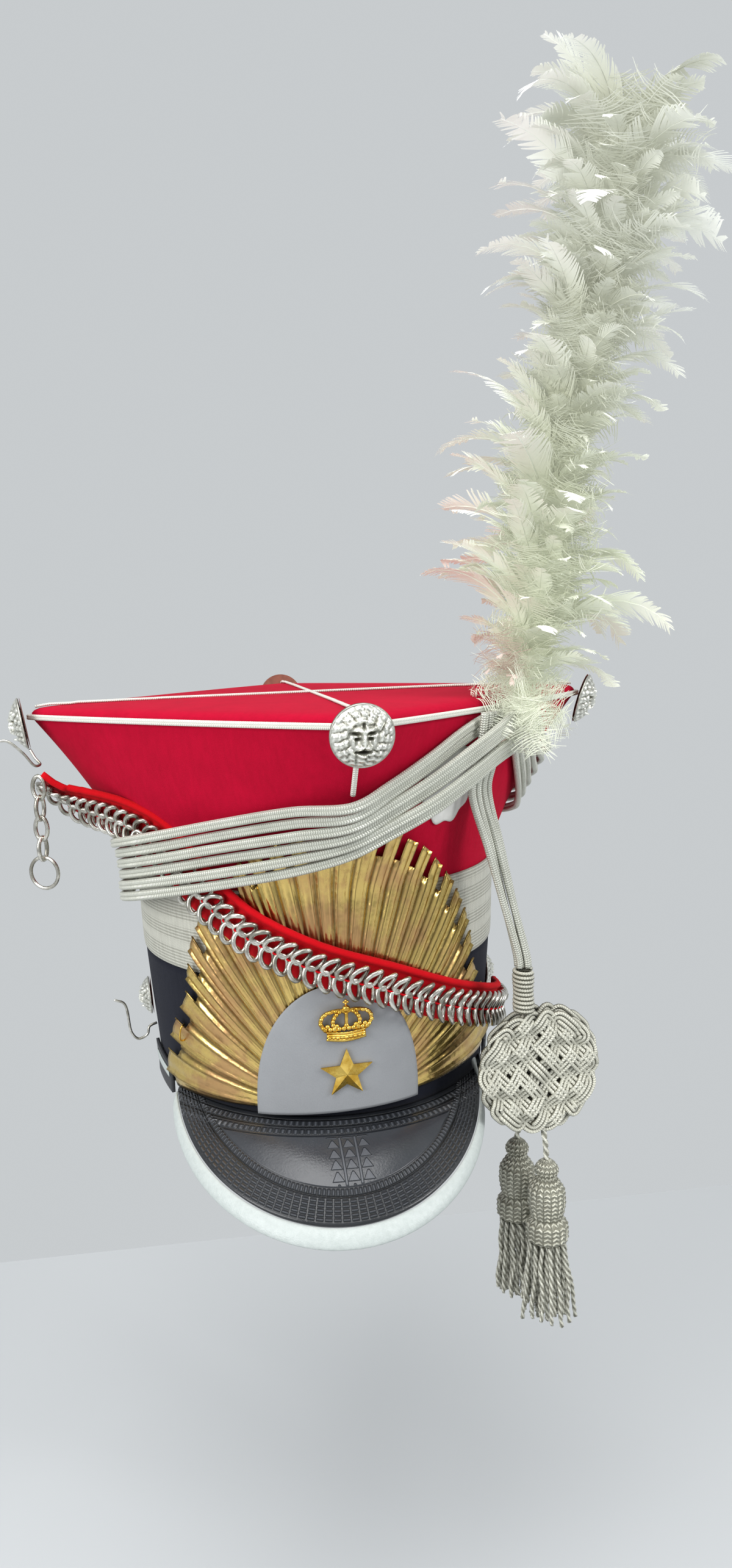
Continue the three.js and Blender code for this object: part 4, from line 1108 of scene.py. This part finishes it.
plain_leather = Finish("plain black leather", (0.02, 0.021, 0.025), 0.45)
plain_leather.bump(plain_leather.cloud(800, 3), 0.1)
for side, where in ((-1, "left"), (1, "right")):
    name = where + "_peak_tab"
    start, end = (0, 1) if side > 0 else (1, 0)
    bm = laid(16, 14, lambda u, v: tab_point(side, mix(start, end, u), v, 2.1))
    finished("leather_" + name, bm, plain_leather, [name], thickness=1.8)
    bm = laid(10, 6, lambda u, v: tab_point(side, 0.1 + 0.75 * mix(start, end, u), 0.5 + 0.3 * v, 2.7))
    finished("white_tag_" + where, bm, white_leather, thickness=0.5)

# %% [markdown]
# ## The rayed plate
# Twenty-six fluted rays are pressed in one sheet of thin brass. Each ray ends in a square tooth with a
# notch beside it, and is bordered by two narrow ridges. The plate is old: the brass is dull and coppery
# in streaks, and no tooth is quite as long as the next.

# %% Brass
tooth_count, tooth_columns, ray_rows, notch_row, tooth_foot = 26, 14, 18, 14, 0.85
brass = Finish("old brass", (0.72, 0.52, 0.20), 0.3, 1.0)
across = brass.uv("X") * tooth_count
along = brass.uv("Y")
local = (across.part() - 0.5).size()
streak = brass.cloud(1.0, 3, 0.6, brass.vector(brass.uv("X") * 90, brass.uv("Y") * 7))
patch = brass.cloud(38, 4, 0.65)
copper = brass.ramp(patch + streak * 0.35 - along * 0.1, 0.52, 0.78)
# Painted shade: each ray is darker towards its edges, where it meets the next, and in a thin line beside each
# ridge.
groove_and_ridge_shade = brass.ramp(local, 0.4, 0.5) * 0.7 + local.within(0.275, 0.325, 0.015) * 0.5
tone = brass.tint(copper, (0.70, 0.51, 0.17), (0.56, 0.34, 0.15))
# Dark streaks are real dirt; the groove and ridge darkening is the painted shade above.
dirt_and_shade = groove_and_ridge_shade * 1.2 + brass.ramp(streak, 0.55, 0.8) * 0.45
brass.tinted(dirt_and_shade, tone, (0.14, 0.09, 0.03))
brass.roughened(patch * 0.6 + streak * 0.4, 0.35, 0.65, 0.2, 0.36)
brass.bump(brass.cloud(150, 2) + streak * 0.35, 0.5)

# %% Rays
plate_half_width, plate_height, shield_half_width, shield_height = 118, 141, 42, 66
tooth_length = [chance.uniform(-0.012, 0.012) for tooth in range(tooth_count)]
flute = [-0.5, 0.3, 0.5, 1.5, 0.3, 0.5, 0.7, 0.8, 0.7, 0.5, 0.3, 1.5, 0.5, 0.3, -0.5]


def ray_point(turn, reach):
    """A ray from the shield at reach 0 to the teeth at 1; turn is -1 at the left and 1 at the right."""
    angle = math.radians(90 * turn)
    wing = max(0, abs(turn) - 0.8) / 0.2
    half_width = plate_half_width * mix(0.745, 1, wing)
    outer = Vector((half_width * math.sin(angle), plate_height * max(math.cos(angle), 0) ** 0.8))
    inner = Vector((shield_half_width * math.sin(angle), shield_height * math.cos(angle))) * 0.9
    return inner.lerp(outer, reach)


def plate_place(u, v):
    column, row = round(u * tooth_count * tooth_columns), round(v * ray_rows)
    tooth = min(column // tooth_columns, tooth_count - 1)
    part = column - tooth * tooth_columns
    reach = tooth_foot * min(row / notch_row, 1)
    up_tooth = max(row - notch_row, 0) / (ray_rows - notch_row)
    reach = mix(reach, 1 + tooth_length[tooth], up_tooth)
    spot = ray_point(2 * column / (tooth_count * tooth_columns) - 1, reach)
    relief = flute[part] * (0.35 + 0.75 * min(reach * 1.6, 1))
    swell = 0.25 * noise.noise(Vector((spot.x, spot.y, 0)) * 0.06)
    return on_front(spot.x, 3.2 + spot.y, 2.7 + relief + swell)


bm = laid(tooth_count * tooth_columns, ray_rows, plate_place)
cut_away(bm, lambda u, v: v * ray_rows > notch_row and not 3 < u * tooth_count % 1 * tooth_columns < 11)
finished("rays", bm, brass, ["sunburst_plate"], thickness=0.8)
stitch_route = [(-88, 42, 3.2), (-87.4, 41, 5.6), (-88.4, 37, 6.4), (-89.6, 33.4, 5.6), (-89.8, 32.6, 3.2)]
stitch = smooth_line([on_front(*spot) for spot in stitch_route], 24)
finished("wire_stitch", corded(stitch, round_section(0.45), 8), gilt)

# %% [markdown]
# ## Shield, crown and star
# The middle of the plate is grey leather, slightly domed. The crown is a pressed badge, so it is built
# from what it shows: a band with a row of pearls, leaves, arches with pearls, an orb and a cross. Below
# it is a plain faceted star.

# %% Shield
grey_leather = Finish("grey leather", (0.29, 0.30, 0.325), 0.55)
nap = grey_leather.cloud(1400, 3, 0.65)
rubbed = grey_leather.cloud(45, 3)
shade = nap * 0.4 + rubbed * 0.6
grey_leather.tinted(shade, (0.215, 0.22, 0.23), (0.335, 0.345, 0.36))
grey_leather.bump(nap, 0.08)


def shield_place(u, v):
    width = math.sqrt(1 - min(v * 0.985, 1) ** 2.2)
    edge = 1 - max(abs(2 * u - 1), v) ** 10
    return on_front(shield_half_width * width * (2 * u - 1), 0.6 + shield_height * v, 4.9 + 0.6 * edge)


bm = laid(48, 44, shield_place)
finished("leather_shield", bm, grey_leather, ["centre_plate"], thickness=1.0)


# %% Crown badge and star
def ball(x, z, out, radius):
    bm = bmesh.new()
    bmesh.ops.create_uvsphere(bm, u_segments=12, v_segments=8, radius=radius)
    bmesh.ops.translate(bm, vec=Vector((x, -out, z)), verts=bm.verts)
    return bm


def on_shield(bm, level):
    """Lays a flat badge on the shield, with its middle at a level."""
    shield_face, badge_azimuth = 6.1, -1
    for vert in bm.verts:
        vert.co = on_front(vert.co.x, level + vert.co.z, shield_face - vert.co.y, badge_azimuth)
    bmesh.ops.recalc_face_normals(bm, faces=bm.faces)
    return bm


def badge_line(points, steps):
    return smooth_line([Vector((x, -out, z)) for x, z, out in points], steps)


def rod(points, radius):
    return corded(badge_line(points, 16), round_section(radius), 8, lambda point: forward)


parts = []
for level, radius in ((0.8, 0.85), (4.4, 0.75)):
    parts.append(rod([(-9.2, level + 0.5, 0.7), (0, level - 0.5, 1.3), (9.2, level + 0.5, 0.7)], radius))
parts.append(rod([(-9.0, 2.9, 0.5), (0, 2.2, 1.0), (9.0, 2.9, 0.5)], 1.35))
for number in range(9):
    x = -8 + 2 * number
    out, radius = (1.9, 0.6) if number % 2 else (2.2, 0.85)
    parts.append(ball(x, 2.5 - 0.35 * (1 - (x / 9) ** 2), out, radius))
for x in (-8.6, -4.4, 0, 4.4, 8.6):
    for side, up in ((-1, 0), (1, 0), (0, 1.5)):
        parts.append(ball(x + side * 1.15, 6.6 + up, 1.5, 1.2))
for side in (-1, 1):
    for foot, bulge, top in ((9.2, 11.8, 3.2), (4.6, 6.2, 1.6)):
        arch = [(side * foot, 5.4, 0.8), (side * bulge, 10.2, 1.4), (side * (bulge - 2), 14.4, 1.6),
                (side * top, 16, 1.6), (0, 14.8, 1.5)]
        parts.append(rod(arch, 1.0))
        parts += [ball(point.x, point.z, 0.7 - point.y, 1.05) for point in badge_line(arch, 8)[1:7]]
parts.append(rod([(0, 7.5, 1.2), (0, 11, 2.2), (0, 14.6, 1.8)], 0.8))
for x, z, out, radius in (
    (0, 16.6, 1.4, 1.9), (0, 19.2, 1.2, 0.7), (-0.9, 19.9, 1.2, 0.6), (0.9, 19.9, 1.2, 0.6),
    (0, 20.7, 1.2, 0.65),
):
    parts.append(ball(x, z, out, radius))
finished("pressed_crown", on_shield(gathered(parts), 39), gilt, ["crown_badge"])


def star_place(u, v):
    """From the middle of the back, round the two edges of the points, to the raised middle."""
    depth, size = ((0, 0), (0, 1), (0.9, 1), (2.4, 0))[round(3 * v)]
    corner = round(10 * u)
    angle, radius = math.pi * (0.5 + corner / 5), 13 * size * (0.42 if corner % 2 else 1)
    return Vector((radius * math.cos(angle), -depth, radius * math.sin(angle)))


bm = laid(10, 3, star_place)
for edge in bm.edges:
    edge.smooth = False
finished("faceted_star", on_shield(bm, 21.5), gilt, ["star_badge"])

# %% [markdown]
# ## Lion masks
# The six bosses are lion masks stamped from silvered sheet. Each is a disc turned from its profile, and
# its face is raised by a relief of rounded features: brows, nose, muzzle, cheeks and chin within a mane
# whose locks run outwards. The reddish backing shows from behind.

# %% Mask relief
silvered = Finish("silvered brass", (0.78, 0.77, 0.70), 0.34, 0.9)
raised_share = silvered.measure("relief")
spots = silvered.cloud(520, 3, 0.6)
silvered.tinted(raised_share + spots * 0.5 - 0.25, (0.17, 0.165, 0.13), (0.93, 0.93, 0.85))
silvered.roughened(raised_share, 0.2, 0.8, 0.5, 0.26)
silvered.bump(spots, 0.15)
backing = Finish("red-brown backing", (0.20, 0.055, 0.03), 0.7)
backing.tinted(backing.cloud(300, 3), (0.12, 0.03, 0.02), (0.30, 0.10, 0.06))

face_features = [
    # across, up, wide, tall, height: nose, brows, forehead, eyes, sockets, muzzle, mouth, chin, cheeks, ears
    (0, 0.12, 0.10, 0.22, 0.24), (0, -0.12, 0.12, 0.18, 0.26), (0, -0.24, 0.14, 0.07, 0.12),
    (-0.2, 0.27, 0.15, 0.075, 0.26), (0.2, 0.27, 0.15, 0.075, 0.26), (-0.08, 0.24, 0.07, 0.09, 0.12),
    (0.08, 0.24, 0.07, 0.09, 0.12), (0, 0.36, 0.05, 0.12, -0.12), (-0.14, 0.46, 0.12, 0.1, 0.14),
    (0.14, 0.46, 0.12, 0.1, 0.14), (-0.22, 0.07, 0.06, 0.045, 0.13), (0.22, 0.07, 0.06, 0.045, 0.13),
    (-0.24, 0.15, 0.14, 0.04, -0.16), (0.24, 0.15, 0.14, 0.04, -0.16), (-0.2, -0.02, 0.1, 0.05, -0.14),
    (0.2, -0.02, 0.1, 0.05, -0.14), (-0.15, -0.3, 0.12, 0.1, 0.24), (0.15, -0.3, 0.12, 0.1, 0.24),
    (0, -0.33, 0.025, 0.1, -0.12), (0, -0.43, 0.22, 0.035, -0.24), (0, -0.53, 0.13, 0.07, 0.2),
    (-0.33, -0.08, 0.09, 0.2, 0.14), (0.33, -0.08, 0.09, 0.2, 0.14), (-0.46, 0.36, 0.1, 0.1, 0.24),
    (0.46, 0.36, 0.1, 0.1, 0.24), (-0.46, 0.34, 0.045, 0.05, -0.16), (0.46, 0.34, 0.045, 0.05, -0.16),
    (-0.06, -0.2, 0.03, 0.035, -0.1), (0.06, -0.2, 0.03, 0.035, -0.1),
]


def mask_relief(x, z):
    radius, angle = math.hypot(x, z), math.atan2(x, z)
    face = sum(h * math.exp(-((x - a) / w) ** 2 - ((z - u) / t) ** 2) for a, u, w, t, h in face_features)
    mane = 0
    for ring, locks, high in ((0.56, 11, 0.20), (0.72, 16, 0.19), (0.87, 21, 0.13)):
        curl = locks * angle + ring * 20 + 7 * (radius - ring) + 0.7 * math.sin(3 * angle + ring * 9)
        lock = abs(math.sin(curl / 2)) ** 0.6
        mane += high * lock * math.exp(-(((radius - ring) / 0.085) ** 2))
    fade = 1 - min(max((radius - 0.93) / 0.04, 0), 1)
    return (0.46 * (1 - radius**2) + face + mane * min(radius / 0.5, 1)) * fade


def cavity(x, z):
    """How far a spot stands above the four spots about it: large on ridges and small in hollows."""
    reach = 0.07
    around = (mask_relief(x + a, z + b) for a, b in ((reach, 0), (0, reach), (-reach, 0), (0, -reach)))
    return (mask_relief(x, z) - sum(around) / 4) * 9 + 0.55


def lion_mask(name, azimuth, level, offset, tilt, turn, radius, height, columns, rings):
    """A mask and its backing on the wall, tilted back and turned aside by some degrees."""
    bm = bmesh.new()
    bm.loops.layers.uv.new("UVMap")
    bmesh.ops.create_grid(bm, x_segments=columns, y_segments=rings, size=0.5, calc_uvs=True)
    relief = bm.verts.layers.float.new("relief")
    for vert in bm.verts:
        angle, share = TURN * (vert.co.x + 0.5), (vert.co.y + 0.5) ** 0.85
        x, z = share * math.sin(angle), share * math.cos(angle)
        raised = mask_relief(x, z)
        rim = 0.10 * math.exp(-(((share - 0.97) / 0.025) ** 2))
        vert[relief] = cavity(x, z) + 3 * rim
        vert.co = Vector((radius * x, -(0.9 + height * (raised + rim)), radius * z))
    bmesh.ops.remove_doubles(bm, verts=bm.verts, dist=1e-3)

    def back_place(u, v):
        angle, reach = TURN * u, 0.99 * radius * v
        return Vector((reach * math.sin(angle), -0.1 - 1.2 * (1 - v), reach * math.cos(angle)))

    back = laid(columns, 1, back_place)
    spot = wall(azimuth, level, offset)
    place = Matrix.Translation(spot) @ Matrix.Rotation(math.radians(azimuth + turn), 4, "Z")
    place = place @ Matrix.Rotation(math.radians(tilt), 4, "X")
    for shape in (bm, back):
        bmesh.ops.transform(shape, matrix=place, verts=shape.verts)
    facing = place.to_3x3() @ forward
    for shape, way in ((bm, 1), (back, -1)):
        shape.normal_update()
        if sum(face.normal.dot(facing) for face in shape.faces) * way < 0:
            bmesh.ops.reverse_faces(shape, faces=shape.faces)
    finished("mask_" + name, bm, silvered, [name], thickness=0.6)
    finished("backing_" + name, back, backing)


corner_mask = {"radius": 14, "height": 10, "columns": 120, "rings": 52}
ear_mask = {"radius": 10.5, "height": 8.4, "columns": 84, "rings": 36}
for name, azimuth, tilt, turn in (
    ("front_boss", 0, 9, 0), ("left_boss", -90, 9, 6), ("right_boss", 90, 17, -30), ("back_boss", 180, 9, 0),
):
    lion_mask(name, azimuth, crown_top - 3, 6, tilt, turn, **corner_mask)
for name, azimuth in (("left_ear_boss", -86.5), ("right_ear_boss", 86.5)):
    lion_mask(name, azimuth, 36, 0.5, 3, 0, **ear_mask)

# %% [markdown]
# ## Cockade
# A rosette of thin white cotton lies flat on the crown, held by the cap lines. Only its lowest petal shows.

# %% Cockade
cotton = Finish("white cotton", (0.66, 0.66, 0.63), 0.8)
crumple = cotton.cloud(130, 3, 0.6)
# Painted shade: the low parts of the crumple are painted darker.
cotton.tinted(crumple, (0.50, 0.50, 0.47), (0.78, 0.78, 0.75))
cotton.bump(crumple, 0.6)


cockade_radius, cockade_azimuth, cockade_level, crown_radius_there, petals = 21, 28, 161, 119, 9


def cockade_place(u, v):
    angle = TURN * u
    scallop = 0.5 - 0.5 * math.cos(petals * angle)
    radius = cockade_radius * v * (1 - 0.1 * scallop)
    turn = math.degrees(radius * math.sin(angle) / crown_radius_there)
    fold = math.cos(petals * angle) * v * (1 - v)
    return wall(cockade_azimuth + turn, cockade_level + radius * math.cos(angle), 1.4 + fold + 0.5 * (1 - v))


bm = laid(108, 16, cockade_place)
finished("cotton_rosette", bm, cotton, ["cockade"], thickness=0.6)

# %% [markdown]
# ## The plume
# The plume is made of goose feathers that curl outwards, wired to a stem in tiers. A feather is a shaft
# with a vane on each side, and a vane is a row of barbs that cling together in clumps and split apart.
# A vane here is one grid with every second column taken away, so each column left is a barb. A few
# dozen feathers are made, broad ones and loose downy ones, and each is set on the stem many times,
# turned and sized differently. Thin white feather lets light through, so its finish has a faint painted
# glow that stands in for that light. The feathers are also painted darker near the stem, as painted
# shade inside the plume, and greener low down, as painted shade at the plume's foot.


# %% Feather finishes
def feather_finish(name, inner, outer, green, glow):
    # Painted light: a faint emission makes the feathers glow, standing in for light that passes through them.
    fixed = {"Specular_IOR_Level": 0.1, "Emission_Color": (*glow, 1), "Emission_Strength": 0.12}
    finish = Finish(name, outer, 0.85, 0.0, **fixed)
    # Painted shade: feathers are painted darker and greener where the attribute outer is small, near the
    # stem, as shade inside the plume.
    share = finish.measure("outer") * 1.3 + finish.cloud(30, 2) * 0.5 - 0.3
    # Painted shade: low down the plume is tinted green, as shade at its foot.
    low = finish.ramp(finish.axis(finish.place(), "Z"), 0.40, 0.24)
    finish.tinted(low * 0.28, finish.tint(share, inner, outer), green)
    return finish


# The inner colour is the painted shade near the stem, green the painted shade low down, and the last colour
# that of the painted glow.
white_feather = feather_finish(
    "white feather", (0.40, 0.41, 0.29), (0.89, 0.90, 0.87), (0.82, 0.88, 0.62), (0.9, 0.93, 0.84)
)
stained_feather = feather_finish(
    "stained feather", (0.42, 0.31, 0.26), (0.72, 0.61, 0.55), (0.60, 0.46, 0.40), (0.6, 0.5, 0.45)
)


# %% Feathers
def shaft_of(down):
    """A unit shaft that leaves the stem upwards and curls over, with a little beyond its tip."""
    start = math.radians(chance.uniform(6, 30))
    end = math.radians(chance.uniform(50, 110) if down else chance.uniform(75, 140))
    sway, shaft, spot = chance.uniform(-0.3, 0.3), [], Vector((0, 0, 0))
    for step in range(29):
        share = min(step / 24, 1)
        angle = mix(start, end, share**1.7)
        run = Vector((math.sin(angle), sway * share, math.cos(angle))).normalized()
        shaft.append((spot.copy(), run, Vector((0, 1, 0)).cross(run).normalized()))
        spot += run / 24
    return shaft


def feather_mesh(down):
    """One feather of length 1 from the origin, rising along z and curling over towards x."""
    shaft = shaft_of(down)
    barbs, barb_rows = (24, 3) if down else (34, 4)
    half_width = chance.uniform(0.3, 0.46) if down else chance.uniform(0.11, 0.21)
    camber = chance.uniform(-0.35, 0.25)
    parts = []
    for side in (-1, 1):
        clumps, left = [], 0
        for barb in range(barbs):
            if left == 0:
                left = chance.randint(2, 5) if down else chance.randint(3, 9)
                clump = (chance.uniform(-0.07, 0.07), chance.uniform(0.75, 1.12), chance.uniform(-0.25, 0.3))
            left -= 1
            loose = 1.0 if down else 0.2
            clumps.append([
                clump[0] + loose * chance.uniform(-0.05, 0.05),
                clump[1] + loose * chance.uniform(-0.25, 0.25),
                clump[2] + loose * chance.uniform(-0.3, 0.3),
            ])

        def place(u, v):
            column = round(u * (2 * barbs - 1))
            barb, edge = column // 2, column % 2 * 2 - 1
            root = 0.05 + 0.93 * barb / (barbs - 1)
            turn, stretch, lift = clumps[barb]
            tip = root + (0.2 if down else 0.3) * (1.1 - root) + turn
            profile = math.sin(math.pi * min(max(tip / 1.1, 0.02), 0.995) ** 1.1) ** 0.8
            reach = half_width * (0.6 + 0.4 * profile if down else profile) * stretch * v**0.85
            spot = min(max(mix(root, tip, v**1.2), 0), 1.15) * 24
            low = min(int(spot), 27)
            point = shaft[low][0].lerp(shaft[low + 1][0], spot - low)
            run, out = shaft[low][1], shaft[low][2]
            fullness = (0.2 if down else 0.52) * (1 - 0.6 * v * v)
            across = Vector((0, side, 0)) - run * run.y * side
            rise = (camber * reach / half_width + lift * v) * reach
            return point + across * reach + out * rise + run * edge * fullness * 0.93 / barbs

        bm = laid(2 * barbs - 1, barb_rows, place)
        cut_away(bm, lambda u, v: int(u * (2 * barbs - 1)) % 2)
        parts.append(bm)
    quill = [point for point, run, out in shaft[:25:3]]
    parts.append(corded(quill, round_section(0.011, 0.001), 4))
    whole = gathered(parts)
    mesh = bpy.data.meshes.new("feather")
    whole.to_mesh(mesh)
    whole.free()
    return mesh


broad_feathers = [feather_mesh(False) for number in range(22)]
downy_feathers = [feather_mesh(True) for number in range(12)]
plume_route = [
    (90.5, -93, 183), (92, -93, 203), (102.5, -86, 241), (112, -81, 300), (126, -80, 357), (140, -80, 420),
    (155.5, -80, 490),
]
plume_steps, golden_angle = 200, 2.39996
plume_foot, plume_tip = plume_route[0][2], plume_route[-1][2]
plume_line = smooth_line([Vector(point) for point in plume_route], plume_steps)
spread_at = [(0, 0.34), (0.06, 0.6), (0.13, 0.95), (0.3, 0.9), (0.5, 0.88), (0.7, 0.9), (0.85, 1), (1, 0.85)]


def spread_of(share):
    """How long the feathers are at a share of the plume's height."""
    for (low, start), (high, end) in zip(spread_at, spread_at[1:]):
        if share <= high:
            return mix(start, end, (share - low) / (high - low))
    return spread_at[-1][1]


def add_feather(whole, mesh, share, angle, length, tilt, twist):
    """Sets one feather on the stem: angle is its way round, tilt how far it leans out."""
    # The mesh is moved into place, copied, and moved back, so that one mesh serves many feathers.
    spot = min(max(round(share * plume_steps), 0), plume_steps)
    up = (plume_line[min(spot + 2, plume_steps)] - plume_line[max(spot - 2, 0)]).normalized()
    out = Vector((math.sin(angle), -math.cos(angle), 0))
    out = (out - up * out.dot(up)).normalized()
    basis = Matrix((out, up.cross(out), up)).transposed().to_4x4()
    turned = Matrix.Rotation(tilt, 4, "Y") @ Matrix.Rotation(twist, 4, "Z")
    matrix = Matrix.Translation(plume_line[spot]) @ basis @ turned @ Matrix.Scale(length, 4)
    mesh.transform(matrix)
    whole.from_mesh(mesh)
    mesh.transform(matrix.inverted())


def plume_piece(name, low, high, broad, downy, replaces=()):
    whole = bmesh.new()
    outer = whole.verts.layers.float.new("outer")
    for number in range(broad + downy):
        down = number >= broad
        share = low + (high - low) * ((number - broad * down) + chance.random()) / (downy if down else broad)
        angle = number * golden_angle + chance.uniform(-0.5, 0.5)
        facing = max(math.cos(angle), 0)
        size = chance.uniform(28, 44) if down else chance.uniform(44, 80) * (1 - 0.35 * facing**2)
        tilt = math.radians(chance.uniform(-10, 30) if down else chance.uniform(-8, 34))
        mesh = chance.choice(downy_feathers if down else broad_feathers)
        add_feather(whole, mesh, share, angle, size * spread_of(share), tilt, chance.uniform(-0.8, 0.8))
    # The attribute outer is each point's distance from the stem; the finish paints points near the stem
    # darker, as shade.
    for vert in whole.verts:
        spot = round((vert.co.z - plume_foot) / (plume_tip - plume_foot) * plume_steps)
        near = plume_line[min(max(spot, 0), plume_steps)]
        vert[outer] = min((vert.co - near).length / 60, 1.2)
    finished(name, whole, white_feather, replaces)


plume_piece("lower_feathers", 0.07, 0.37, 96, 190, ["plume"])
plume_piece("middle_feathers", 0.35, 0.68, 96, 180)
plume_piece("upper_feathers", 0.66, 0.885, 84, 150)

# %% Down at the foot, and a stained feather
foot_down = bmesh.new()
outer = foot_down.verts.layers.float.new("outer")
for number in range(70):
    tilt = math.radians(chance.uniform(10, 110))
    mesh, share = chance.choice(downy_feathers), chance.uniform(0.005, 0.1)
    length, twist = chance.uniform(20, 30), chance.uniform(-1, 1)
    add_feather(foot_down, mesh, share, number * golden_angle, length, tilt, twist)
# Down at the foot gets a middling value of outer, so it is painted half in shade.
for vert in foot_down.verts:
    vert[outer] = 0.4
finished("foot_feathers", foot_down, white_feather)
stained = bmesh.new()
outer = stained.verts.layers.float.new("outer")
for angle, share, length, tilt in ((-1.2, 0.08, 30, 0.5), (-0.9, 0.07, 26, 0.8), (-1.5, 0.075, 27, 0.7)):
    add_feather(stained, downy_feathers[3], share, angle, length, tilt, 0.2)
    add_feather(stained, broad_feathers[5], share, angle + 0.1, length, tilt, 0.2)
# Random values of outer paint the stained feathers partly in shade.
for vert in stained.verts:
    vert[outer] = chance.uniform(0.2, 0.8)
finished("stained_feathers", stained, stained_feather)
finished("plume_stem", corded(plume_line[2:186], round_section(3.4, 4), 10), white_feather)

# %% [markdown]
# ## The floor, the room and the light
# The cap stands before a pale wall on a pale grey top, lit by large soft lights from above: the
# photograph shows no hard shadow. The world stands for the wall, and three area lights for the room.

# %% Floor, world and lights
floor_finish = Finish("pale floor", (0.50, 0.515, 0.525), 0.6)
bm = bmesh.new()
bmesh.ops.create_grid(bm, x_segments=1, y_segments=1, size=0.5)
for vert in bm.verts:
    vert.co = Vector((vert.co.x * 8, 0.3 - 6 * (0.5 - vert.co.y), -0.29))
floor_mesh = bpy.data.meshes.new("floor")
bm.to_mesh(floor_mesh)
bm.free()
floor_mesh.materials.append(floor_finish.material)
floor = bpy.data.objects.new("floor", floor_mesh)
scene.collection.objects.link(floor)
floor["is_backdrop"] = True

world = bpy.data.worlds.new("pale room")
scene.world = world
world.use_nodes = True
world.node_tree.nodes["Background"].inputs["Color"].default_value = (0.575, 0.60, 0.615, 1)
world.node_tree.nodes["Background"].inputs["Strength"].default_value = 1.0


def area_light(name, place, aim, size, power):
    data = bpy.data.lights.new(name, "AREA")
    data.shape, data.size, data.energy = "SQUARE", size, power
    light = bpy.data.objects.new(name, data)
    scene.collection.objects.link(light)
    direction = Vector(aim) - Vector(place)
    light.matrix_world = Matrix.Translation(place) @ direction.to_track_quat("-Z", "Y").to_matrix().to_4x4()


area_light("ceiling", (-0.2, -0.5, 1.7), (0, 0, 0.1), 1.2, 21)
area_light("left window", (-1.3, -0.9, 0.7), (0, 0, 0.15), 0.8, 18)
area_light("right window", (1.2, -1.0, 0.9), (0, 0, 0.15), 0.6, 14.5)
scene.view_settings.view_transform = "Standard"

# %% Sizes and the end
size_note = {"cad": [list(map(float, corner)) for corner in cad_box]}
size_note["whole"] = [list(map(float, corner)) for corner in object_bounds()]
print("CAD box", size_note["cad"], "whole", size_note["whole"])
